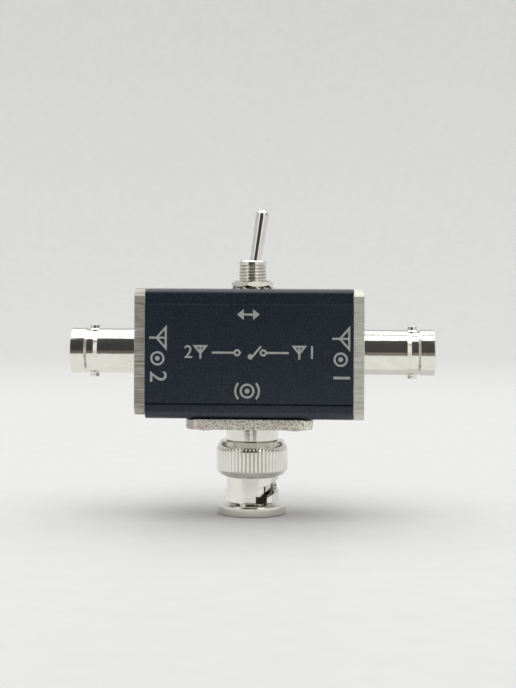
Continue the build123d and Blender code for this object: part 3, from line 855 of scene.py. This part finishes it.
def cast_flange():
    """Flange, collar and spigot in one casting, with its four countersunk holes."""
    corners = [(x * flange_half, y * flange_half, flange_corner)
               for x, y in ((1, 1), (-1, 1), (-1, -1), (1, -1))]
    flange = slab([eased(corners, 12)], flange_bottom, tube_low.z, flange_edge, 2)
    collar = turned(eased([(0, flange_low.z, 0), (collar_radius, flange_low.z, 0.15),
                           (collar_radius, flange_bottom + over, 0), (0, flange_bottom + over, 0)]))
    spigot = turned([(0, tube_low.z - over), (spigot_radius, tube_low.z - over),
                     (spigot_radius, flange_high.z), (0, flange_high.z)])
    carved(flange, collar, "UNION")
    carved(flange, spigot, "UNION")
    floor = flange_high.z - spigot_floor
    bore = turned([(0, flange_low.z - over), (flange_bore, flange_low.z - over), (flange_bore, floor),
                   (spigot_top_bore, floor), (spigot_top_bore, flange_high.z + over),
                   (0, flange_high.z + over)], 96)
    carved(flange, bore)
    upside_down = Matrix.Rotation(math.pi, 4, "X")
    for x, y in signs:
        hole = turned(countersink(0, flange_thickness + over, hole_gap, over), 48)
        spot = Matrix.Translation((x * flange_screw_place, y * flange_screw_place, flange_bottom))
        carved(flange, placed(hole, upside_down, spot))
    return flange


flange_finish = mould_skin()
nickel_on_plug = bright_nickel("nickel_on_plug", (0.02, 0.02, 1), 0.003)
flange = finished("cast_flange", cast_flange(), "housing", "cast_zinc", flange_finish, "plug_flange")
flange.data.materials.append(nickel_on_plug)
for face in flange.data.polygons:
    if face.center.z < (flange_bottom - 0.01) * mm and face.center.xy.length < 1.05 * collar_radius * mm:
        face.material_index = 1

flange_dome = 0.55
flange_screw_length = 4.32


def raised_screw():
    """Raised countersunk screw with its head's rim at height 0."""
    ball = (screw_head_radius ** 2 + flange_dome ** 2) / (2 * flange_dome)
    reach = math.asin(screw_head_radius / ball)
    dome = [(ball * math.sin(reach * i / 8), flange_dome - ball + ball * math.cos(reach * i / 8))
            for i in range(8)]
    return screw(dome + countersink(0, flange_screw_length)[2:], flange_dome - 0.1)


flange_screw = raised_screw()
screws = driven(shaped(bpy.data.meshes.new("screws")), screw_tree, screw=flange_screw,
                pitch=2 * flange_screw_place, seed=7, finish=steel)
placed(screws, Matrix.Rotation(math.pi, 4, "X"), Matrix.Translation((0, 0, flange_bottom)))
finished("flange_screw_set", screws, "housing", "screw_steel", steel, "flange_screws")
bpy.data.objects.remove(flange_screw)


def silicone_rubber():
    """Red-brown silicone with a matt moulded skin."""
    material, tree, shader, place = surface("silicone_rubber", 0.0)
    cloud = grain(tree, place, 0.4)
    tree.links.new(tint(tree, spread(tree, cloud, 0, 1), (0.48, 0.13, 0.08), (0.58, 0.18, 0.11)),
                   shader.inputs["Base Color"])
    tree.links.new(spread(tree, cloud, 0.5, 0.66), shader.inputs["Roughness"])
    relief(tree, shader, (cloud, 0.01))
    return material


def dressed(finish, *names):
    """Give carried-over nodes their finish."""
    for name in names:
        for slot in nodes[name].material_slots:
            slot.material = finish


def sprung(name, node, body):
    """Spring carried over from its node as a piece of its own, in plated steel."""
    mesh = nodes[node].data.copy()
    mesh.transform(Matrix.Scale(1 / mm, 4) @ nodes[node].matrix_world)
    spring = finished(name, shaped(mesh), body, "screw_steel", steel, node)
    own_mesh(spring)


dressed(nickel_on_plug, "plug_body", "thrust_washer")
sprung("spring_washer_pair", "spring_washers", "housing")
dressed(silicone_rubber(), "plug_gasket")
dressed(white_insulation, "plug_insulator")
dressed(gold, "plug_pin")

# ---- coupling nut ----
# The bayonet nut is turned from brass and nickel plated. A straight knurl is rolled round its
# grip, and two curved slots are milled through its sleeve for the lugs of the mating socket.
ring_radius = 7.25
ring_height = 2.2
ring_slope_top = 2.65
ring_edge = 0.5
sleeve_radius = 5.7
sleeve_top = 8.1
step_radius = 6.75
step_top = 8.38
knurl_radius = 7.5
knurl_bottom = 9.41
knurl_top = 13.56
nut_top = 15.46
nut_top_radius = 6.7
nut_bore = 4.9
nut_lip_bore = 4.68
nut_lip_bottom = 14.56
cavity_radius = 6.2
cavity_bottom = 10.55
knurl_count = 56
knurl_depth = 0.26
cone_bulge = 0.13
slot_half = 1.22
slot_entry = 24.0
slot_end = 105.0
slot_entry_height = 4.65
slot_rise = 1.7
slot_flare = 0.14


def stepped(section, low, high, step):
    """Section with points no further apart than a step between two heights."""
    points = []
    for (r0, z0), (r1, z1) in zip(section, section[1:] + section[:1]):
        points.append((r0, z0))
        inside = low <= min(z0, z1) and max(z0, z1) <= high and min(r0, r1) > cavity_radius + 0.1
        count = math.ceil(math.hypot(r1 - r0, z1 - z0) / step) if inside else 1
        points += [(r0 + (r1 - r0) * i / count, z0 + (z1 - z0) * i / count) for i in range(1, count)]
    return points


def rolled_ridges():
    """Node tree that sinks furrows between ridges into a turned surface, for knurls and threads."""
    tree = bpy.data.node_groups.new("rolled_ridges", "GeometryNodeTree")
    given, out = sockets(tree, ("Geometry", "Geometry"), ("Round", "Float"), ("Along", "Float"),
                         ("Crest Radius", "Float"), ("Depth", "Float"), ("Crest Share", "Float"),
                         ("Root Share", "Float"), ("Low", "Float"), ("High", "Float"),
                         ("Finish", "Material"))
    values = given.outputs
    position = tree.nodes.new("GeometryNodeInputPosition")
    split = tree.nodes.new("ShaderNodeSeparateXYZ")
    tree.links.new(position.outputs[0], split.inputs[0])
    x, y, z = split.outputs
    turn = maths(tree, "DIVIDE", maths(tree, "ARCTAN2", y, x), 2 * math.pi)
    phase = maths(tree, "ADD", maths(tree, "MULTIPLY", turn, values["Round"]),
                  maths(tree, "MULTIPLY", z, values["Along"]))
    wave = maths(tree, "ABSOLUTE", maths(tree, "SUBTRACT", maths(
        tree, "MULTIPLY", maths(tree, "FRACT", phase), 2.0), 1.0))
    furrow = tree.nodes.new("ShaderNodeMapRange")
    furrow.interpolation_type = "SMOOTHSTEP"
    tree.links.new(wave, furrow.inputs["Value"])
    tree.links.new(values["Crest Share"], furrow.inputs["From Min"])
    tree.links.new(maths(tree, "SUBTRACT", 1.0, values["Root Share"]), furrow.inputs["From Max"])
    limit = maths(tree, "SUBTRACT", values["Crest Radius"],
                  maths(tree, "MULTIPLY", furrow.outputs["Result"], values["Depth"]))
    radius = maths(tree, "SQRT", maths(tree, "ADD", maths(tree, "MULTIPLY", x, x),
                                       maths(tree, "MULTIPLY", y, y)))
    share = maths(tree, "MINIMUM", 1.0, maths(tree, "DIVIDE", limit, radius))
    moved = tree.nodes.new("ShaderNodeCombineXYZ")
    tree.links.new(maths(tree, "MULTIPLY", x, share), moved.inputs[0])
    tree.links.new(maths(tree, "MULTIPLY", y, share), moved.inputs[1])
    tree.links.new(z, moved.inputs[2])
    inside = maths(tree, "MULTIPLY", maths(tree, "GREATER_THAN", z, values["Low"]),
                   maths(tree, "LESS_THAN", z, values["High"]))
    # The stored furrow depth is what the bright nickel darkens as painted shade.
    depth = tree.nodes.new("GeometryNodeStoreNamedAttribute")
    depth.data_type = "FLOAT"
    depth.domain = "POINT"
    depth.inputs["Name"].default_value = "furrow"
    moved_in = maths(tree, "LESS_THAN", share, 0.999)
    tree.links.new(maths(tree, "MULTIPLY", maths(tree, "MULTIPLY", furrow.outputs["Result"], inside),
                         moved_in), depth.inputs["Value"])
    tree.links.new(values["Geometry"], depth.inputs["Geometry"])
    shift = tree.nodes.new("GeometryNodeSetPosition")
    tree.links.new(depth.outputs["Geometry"], shift.inputs["Geometry"])
    tree.links.new(inside, shift.inputs["Selection"])
    tree.links.new(moved.outputs[0], shift.inputs["Position"])
    realize = tree.nodes.new("GeometryNodeRealizeInstances")
    finish = tree.nodes.new("GeometryNodeSetMaterial")
    tree.links.new(shift.outputs["Geometry"], realize.inputs["Geometry"])
    tree.links.new(realize.outputs["Geometry"], finish.inputs["Geometry"])
    tree.links.new(values["Finish"], finish.inputs["Material"])
    tree.links.new(finish.outputs["Geometry"], out.inputs["Geometry"])
    return tree


def slot_edges(angle):
    """Lower and upper edge of a bayonet slot at an angle from the front."""
    entry_half = math.degrees(slot_half / sleeve_radius)
    along = min(1.0, max(0.0, (angle - slot_entry) / (slot_end - slot_entry)))
    middle = slot_entry_height + slot_rise * (1 - (1 - along) ** 2)
    half = slot_half
    if angle > slot_end:
        half *= math.sqrt(1 - ((angle - slot_end) / (entry_half * 1.01)) ** 2)
    top = middle + half
    if angle < slot_entry:
        top -= 0.4 * (1 - (angle - slot_entry + entry_half) / entry_half)
    bottom = middle - half if angle > slot_entry + entry_half else -over
    return bottom, top


def bayonet_slot(first):
    """Milling tool for one slot: the entry inside the ring, the cam and the lug's seat."""
    entry_half = math.degrees(slot_half / sleeve_radius)
    start, stop = slot_entry - entry_half, slot_end + entry_half
    count = 96
    bm = bmesh.new()
    rings = []
    for i in range(count + 1):
        angle = start + (stop - start) * i / count
        turn = math.radians(angle + first)
        low, high = slot_edges(angle)
        flare = slot_flare if i else 0
        corners = ((nut_bore - 0.6, low), (sleeve_radius - slot_flare, low),
                   (sleeve_radius + 0.08, low - flare), (sleeve_radius + 0.08, high + flare),
                   (sleeve_radius - slot_flare, high), (nut_bore - 0.6, high))
        rings.append([bm.verts.new((r * math.sin(turn), -r * math.cos(turn), z)) for r, z in corners])
    for here, there in zip(rings, rings[1:]):
        for k in range(len(here)):
            bm.faces.new((here[k - 1], here[k], there[k], there[k - 1]))
    bm.faces.new(rings[0])
    bm.faces.new(rings[-1])
    return shaped(closed_mesh(bm))


ridge_tree = rolled_ridges()
shoulder = [(knurl_radius + (nut_top_radius - knurl_radius) * i / 6
             + cone_bulge * math.sin(math.pi * i / 6),
             knurl_top + (nut_top - 0.1 - knurl_top) * i / 6, 0) for i in range(1, 6)]
nut_section = eased([
    (nut_bore, 0, 0.3), (ring_radius, 0, ring_edge), (ring_radius, ring_height, ring_edge),
    (sleeve_radius, ring_slope_top, 0.25), (sleeve_radius, sleeve_top, 0.3),
    (step_radius, step_top, 0.08), (knurl_radius, knurl_bottom, 0), (knurl_radius, knurl_top, 0),
    *shoulder, (nut_top_radius, nut_top, 0.1), (nut_lip_bore, nut_top, 0.08),
    (nut_lip_bore, nut_lip_bottom, 0), (cavity_radius, nut_lip_bottom, 0),
    (cavity_radius, cavity_bottom, 0), (nut_bore, cavity_bottom, 0)], 5)
nut_section = stepped([tuple(p) for p in nut_section], step_top, nut_top, 0.11)
nut = driven(turned(nut_section, knurl_count * 8), ridge_tree, round=float(knurl_count), along=0.0,
             crest_radius=knurl_radius, depth=knurl_depth, crest_share=0.42, root_share=0.12,
             low=step_top + 0.1, high=nut_top - 0.1, finish=nickel_on_plug)
for first in (0, 180):
    carved(nut, bayonet_slot(first))
finished("bayonet_nut", nut, "coupling_nut", "bright_nickel", nickel_on_plug, "coupling_nut",
         crease=38)

# ---- toggle bushing, nuts and lock washer ----
# The toggle's bushing is turned brass with a rolled M6 thread, fixed in the tube's top by a
# hexagon nut over a toothed lock washer. A second nut inside sets how far it stands out.
case_top = 43.2
frame_top = 43.7
bushing_top = 53.4
thread_radius = 2.93
thread_pitch = 0.68
thread_depth = 0.2
thread_end = 0.95
bushing_edge = 0.35
bushing_bore = 2.232
bushing_lip_bore = 2.052
nut_flats = 8.0
outer_nut_low, outer_nut_high = 47.7, 49.15
outer_nut_turn = 19.0


def hex_nut(low, high, turn):
    """Hexagon nut with its corners turned off at 30 degrees and a countersunk thread."""
    corner = nut_flats / math.sqrt(3)
    inner = nut_flats / 2 * 0.93
    drop = (corner - inner) * math.tan(math.radians(30))
    corners = [(corner * math.sin(a), -corner * math.cos(a), 0.12)
               for a in (math.radians(turn + 30 + 60 * i) for i in range(6))]
    nut = slab([eased(corners, 3)], low, high)
    rounding = turned([(0, low - over), (inner, low - over), (inner, low), (corner + 0.05, low + drop),
                       (corner + 0.05, high - drop), (inner, high), (inner, high + over),
                       (0, high + over)], 144)
    carved(nut, rounding, "INTERSECT")
    bore = thread_radius + 0.05
    lead_in = 0.25
    return carved(nut, turned([(0, low - over), (bore + lead_in, low - over), (bore + lead_in, low),
                               (bore, low + lead_in), (bore, high - lead_in), (bore + lead_in, high),
                               (bore + lead_in, high + over), (0, high + over)], 96))


def twisted_washer():
    """Lock washer with each of its outer teeth twisted out of the flat."""
    bm = bmesh.new()
    bm.from_mesh(nodes["toggle_lock_washer"].data)
    bmesh.ops.scale(bm, verts=bm.verts, vec=(1 / mm,) * 3)
    bmesh.ops.remove_doubles(bm, verts=bm.verts, dist=1e-4)
    teeth, root, tip = 12, 3.6, 4.35
    for vert in bm.verts:
        turn = math.atan2(vert.co.y, vert.co.x) / (2 * math.pi) * teeth + 0.5
        out = max(0.0, (vert.co.xy.length - root) / (tip - root))
        vert.co.z += 0.22 * out * (turn % 1 - 0.5)
    return shaped(closed_mesh(bm))


def satin_nickel():
    """Nickel on brass, a little greyer and softer than the jacks'."""
    material, tree, shader, place = surface("satin_nickel", 1.0)
    cloud = grain(tree, place, 0.7)
    fine = grain(tree, place, 0.14)
    tree.links.new(tint(tree, spread(tree, cloud, 0, 1), (0.7, 0.685, 0.62), (0.8, 0.785, 0.73)),
                   shader.inputs["Base Color"])
    tree.links.new(spread(tree, fine, 0.12, 0.26), shader.inputs["Roughness"])
    relief(tree, shader, (cloud, 0.002), (fine, 0.0004))
    return material


bushing_section = eased([
    (bushing_bore, case_top, 0), (thread_radius - bushing_edge, case_top, 0),
    (thread_radius - bushing_edge, frame_top, 0), (thread_radius, frame_top, 0),
    (thread_radius, bushing_top - bushing_edge, 0.2),
    (thread_radius - bushing_edge, bushing_top, 0.15), (bushing_lip_bore, bushing_top, 0.08),
    (bushing_lip_bore, bushing_top - 0.5, 0.03), (bushing_bore, bushing_top - 0.6, 0)])
rows = []
for (r0, z0), (r1, z1) in zip(bushing_section, bushing_section[1:] + bushing_section[:1]):
    count = math.ceil(abs(z1 - z0) / (thread_pitch / 12)) if min(r0, r1) > bushing_bore + 0.1 else 1
    rows += [(r0 + (r1 - r0) * i / count, z0 + (z1 - z0) * i / count) for i in range(count)]
grey_nickel = satin_nickel()
bushing = driven(turned(rows, 96), ridge_tree, round=-1.0, along=1 / thread_pitch,
                 crest_radius=thread_radius, depth=thread_depth, crest_share=0.3, root_share=0.14,
                 low=frame_top + 0.1, high=bushing_top - thread_end, finish=grey_nickel)
finished("threaded_bushing", bushing, "housing", "toggle_nickel", grey_nickel, "toggle_bushing",
         crease=50)
finished("toggle_hex_nut", hex_nut(outer_nut_low, outer_nut_high, outer_nut_turn), "housing",
         "toggle_nickel", grey_nickel, "toggle_outer_nut")
finished("toothed_lock_washer", twisted_washer(), "housing", "toggle_nickel", grey_nickel,
         "toggle_lock_washer")
dressed(grey_nickel, "toggle_inner_nut")

# ---- toggle lever ----
# The bat lever is turned from brass with a ball that rocks in the bushing's lip, and it thickens
# towards a round tip. It is polished and chrome plated, and leans to the right at rest.
pivot_height = 49.25
lever_tilt = 8.2
lever_length = 15.07
lever_base = 1.2
lever_flare = 1.36
lever_flare_bottom = 4.15
lever_flare_top = 4.75
lever_tip = 1.43
ball_radius = 2.152
stem_radius = 1.3
stem_length = 7.3
plunger_bore = 0.88
plunger_bore_top = -2.4


def polished_chrome():
    """Bright chrome with a soft ripple from polishing."""
    material, tree, shader, place = surface("polished_chrome", 1.0)
    ripple = grain(tree, place, 0.9, (1, 1, 0.35))
    fine = grain(tree, place, 0.18)
    tree.links.new(tint(tree, spread(tree, ripple, 0, 1), (0.74, 0.735, 0.7), (0.82, 0.815, 0.79)),
                   shader.inputs["Base Color"])
    tree.links.new(spread(tree, fine, 0.06, 0.14), shader.inputs["Roughness"])
    relief(tree, shader, (ripple, 0.004), (fine, 0.0006))
    return material


def bat_lever():
    """Lever about its own axis, with the ball's centre at height 0."""
    shaft_end = lever_length - lever_tip
    dome = [(lever_tip * math.cos(a), shaft_end + lever_tip * math.sin(a))
            for a in (math.radians(7.5 * i) for i in range(12))]
    ball_top = math.acos(lever_flare / ball_radius)
    ball_bottom = -math.acos(stem_radius / ball_radius)
    ball = [(ball_radius * math.cos(a), ball_radius * math.sin(a)) for a in
            (ball_bottom + (ball_top - ball_bottom) * i / 20 for i in range(21))]
    section = [(0, plunger_bore_top), (plunger_bore, plunger_bore_top),
               (plunger_bore, -stem_length), (stem_radius, -stem_length)] + ball
    section += eased([(lever_flare, lever_flare_bottom, 0), (lever_base, lever_flare_top, 0)])
    return turned(section + dome + [(0, lever_length)], 96)


lever_place = (Matrix.Translation((0, 0, pivot_height))
               @ Matrix.Rotation(math.radians(lever_tilt), 4, "Y"))
finished("chromed_lever", placed(bat_lever(), lever_place), "lever", "toggle_chrome",
         polished_chrome(), "toggle_lever", crease=40)


def moulding(name, dark, light, shine):
    """Moulded plastic with a fine sprayed texture."""
    material, tree, shader, place = surface(name, 0.0)
    cloud = grain(tree, place, 0.9)
    fine = grain(tree, place, 0.1)
    tree.links.new(tint(tree, spread(tree, cloud, 0, 1), dark, light), shader.inputs["Base Color"])
    tree.links.new(spread(tree, fine, shine - 0.07, shine + 0.07), shader.inputs["Roughness"])
    relief(tree, shader, (fine, 0.004))
    return material


def dull_metal(name, dark, light, rough):
    """Plated sheet or wire with a soft cloudy shine."""
    material, tree, shader, place = surface(name, 1.0)
    cloud = grain(tree, place, 0.6)
    fine = grain(tree, place, 0.12)
    tree.links.new(tint(tree, spread(tree, cloud, 0, 1), dark, light), shader.inputs["Base Color"])
    tree.links.new(spread(tree, fine, rough - 0.08, rough + 0.08), shader.inputs["Roughness"])
    relief(tree, shader, (fine, 0.003))
    return material


dressed(nickel_on_jacks, *(f"jack_{part}_{side}" for part in ("nut", "washer") for side in sides))
dressed(grey_nickel, "toggle_frame")
dressed(moulding("red_moulding", (0.38, 0.025, 0.018), (0.46, 0.035, 0.025), 0.42), "toggle_case")
dressed(moulding("acetal", (0.76, 0.75, 0.68), (0.84, 0.83, 0.77), 0.4), "toggle_plunger")
dressed(dull_metal("silver_plate", (0.76, 0.74, 0.7), (0.86, 0.84, 0.8), 0.26), "rocker_blade",
        "common_terminal", "throw_terminal_left", "throw_terminal_right")
dressed(dull_metal("tinned_wire", (0.62, 0.6, 0.56), (0.72, 0.7, 0.66), 0.36), "jack_lead_left",
        "jack_lead_right", "common_lead")
sprung("plunger_coil", "plunger_spring", "lever")

# ---- studio ----
# A round sweep of pale card with one broad lamp overhead. Cards that only reflections see stand a
# good way before the part, lie on the table below its jacks and hang overhead.
sweep_radius, sweep_cove, sweep_height = 0.62, 0.28, 1.0
front_distance, front_seam, front_top = 0.20, 0.038, 0.46
strip_distance, strip_low, strip_high = 0.19, 0.02, 0.20
card_lift = 0.0004
table_seams = (-0.2, -0.143, -0.135, -0.03, 0.0, 0.09)
bar_height, bar_near, bar_far, bar_length = 0.5, 0.06, 0.14, 0.16


def paper():
    """Pale matt card."""
    material, tree, shader, place = surface("paper", 0.0, Specular_IOR_Level=0.1)
    fibre = grain(tree, place, 6.0)
    tree.links.new(tint(tree, spread(tree, fibre, 0, 1), (0.72, 0.72, 0.715), (0.74, 0.74, 0.735)),
                   shader.inputs["Base Color"])
    shader.inputs["Roughness"].default_value = 0.9
    return material


def fading(name, colour):
    """Even colour whose brightness is drawn on the card."""
    material = bpy.data.materials.new(name)
    material.use_nodes = True
    tree = material.node_tree
    tree.nodes.clear()
    light = tree.nodes.new("ShaderNodeEmission")
    light.inputs["Color"].default_value = (*colour, 1)
    drawn = tree.nodes.new("ShaderNodeAttribute")
    drawn.attribute_name = "shade"
    out = tree.nodes.new("ShaderNodeOutputMaterial")
    tree.links.new(drawn.outputs["Fac"], light.inputs["Strength"])
    tree.links.new(light.outputs[0], out.inputs["Surface"])
    return material


def reflected_card(name, material, columns):
    """Card that only reflections see, through columns of (two places, brightness)."""
    bm = bmesh.new()
    shade = bm.verts.layers.float.new("shade")
    sides = []
    for places, strength in columns:
        sides.append([bm.verts.new(place) for place in places])
        for vert in sides[-1]:
            vert[shade] = strength
    for here, there in zip(sides, sides[1:]):
        bm.faces.new((here[0], here[1], there[1], there[0]))
    mesh = bpy.data.meshes.new(name)
    bm.to_mesh(mesh)
    bm.free()
    card = shaped(mesh)
    card.name = name
    mesh.materials.append(material)
    card.visible_camera = False
    card.visible_diffuse = False
    card.visible_transmission = False
    card.visible_shadow = False


def swept(stops, step=4):
    """Azimuths and brightnesses from stop to stop, at small steps."""
    columns = []
    for (start, first), (stop, second) in zip(stops, stops[1:]):
        count = max(1, round((stop - start) / step))
        columns += [(math.radians(start + (stop - start) * i / count),
                     first + (second - first) * i / count) for i in range(count)]
    return columns + [(math.radians(stops[-1][0]), stops[-1][1])]


def upright_card(name, low, high, radius, material, *stops):
    """Curved card round the part, through (azimuth, brightness) stops."""
    reflected_card(name, material, [
        ([(radius * math.sin(a), -radius * math.cos(a), z) for z in (low, high)], strength)
        for a, strength in swept(stops)])


def flat_card(name, along, across, material, strength):
    """Card on the table, between two values of X and of Y."""
    reflected_card(name, material, [([(x, y, card_lift) for y in across], strength) for x in along])


cove = [(sweep_radius + sweep_cove * math.sin(a), sweep_cove * (1 - math.cos(a)))
        for a in (math.radians(6 * i) for i in range(16))]
sweep = turned([(0, 0)] + cove + [(cove[-1][0], sweep_height)], 96, closed=False)
sweep.name = "sweep"
sweep.data.materials.append(paper())
sweep.data.shade_smooth()

warm_dark = fading("dark_card", (1.0, 0.97, 0.92))
warm_light = fading("strip_light", (1.0, 0.95, 0.82))
neutral = fading("white_card", (1.0, 0.99, 0.96))
brown = fading("table_card", (1.0, 0.87, 0.8))
upright_card("front_card", front_seam, front_top, front_distance, warm_dark, (-58, 0.95),
             (-34, 0.95), (-33.5, 0.05), (26, 0.07), (26.5, 0.95), (50, 0.95))
upright_card("front_card_foot", 0.0, front_seam, front_distance, brown, (-58, 0.8), (-34, 0.8),
             (-33.5, 0.14), (0, 0.17), (8, 0.24), (26, 0.24), (26.5, 0.8), (50, 0.8))
upright_card("strip_upper", strip_low, strip_high, strip_distance, warm_light, (25.5, 1.5), (31, 1.5))
for side, along, shade, back in (("left", (-0.08, -0.02), 0.18, 0.84), ("right", (0.018, 0.06), 0.25, 0.68)):
    laid = (("table", brown, shade), ("edge", warm_dark, 0.08), ("bounce", neutral, 0.88),
            ("under", neutral, 0.88), ("behind", neutral, back))
    for (part, material, strength), across in zip(laid, zip(table_seams, table_seams[1:])):
        flat_card(f"jack_{part}_{side}", along, across, material, strength)
reflected_card("overhead_bar", warm_dark, [
    ([(x, bar_near, bar_height), (x, bar_far, bar_height)], 0.4) for x in (0.0, bar_length)])

lamp = bpy.data.lights.new("overhead", "AREA")
lamp.shape = "RECTANGLE"
lamp.size = 1.1
lamp.size_y = 1.1
lamp.energy = 5.6
overhead = bpy.data.objects.new("overhead", lamp)
overhead.location = (0, 0.12, 0.66)
bpy.context.scene.collection.objects.link(overhead)

world = bpy.data.worlds.new("room")
bpy.context.scene.world = world
world.use_nodes = True
world.node_tree.nodes["Background"].inputs["Color"].default_value = (1, 1, 1, 1)
world.node_tree.nodes["Background"].inputs["Strength"].default_value = 0.5

view_distance, view_height, view_turn, view_roll = 0.300, 0.0485, 3.3, 0.26
lens, sensor, long_side = 74.1, 36.0, 688
horizon_rise, axis_left = 60.3, 5.2
camera_data = bpy.data.cameras.new("camera")
camera_data.lens = lens
camera_data.sensor_width = sensor
camera_data.shift_x = axis_left / long_side
camera_data.shift_y = -horizon_rise / long_side
camera_data.clip_start = 0.01
camera_data.clip_end = 10.0
camera = bpy.data.objects.new("camera", camera_data)
turn = math.radians(view_turn)
camera.location = (view_distance * math.sin(turn), -view_distance * math.cos(turn), view_height)
camera.rotation_euler = (math.radians(90), -math.radians(view_roll), turn)
bpy.context.scene.collection.objects.link(camera)
bpy.context.scene.camera = camera
bpy.context.scene.view_settings.view_transform = "Standard"
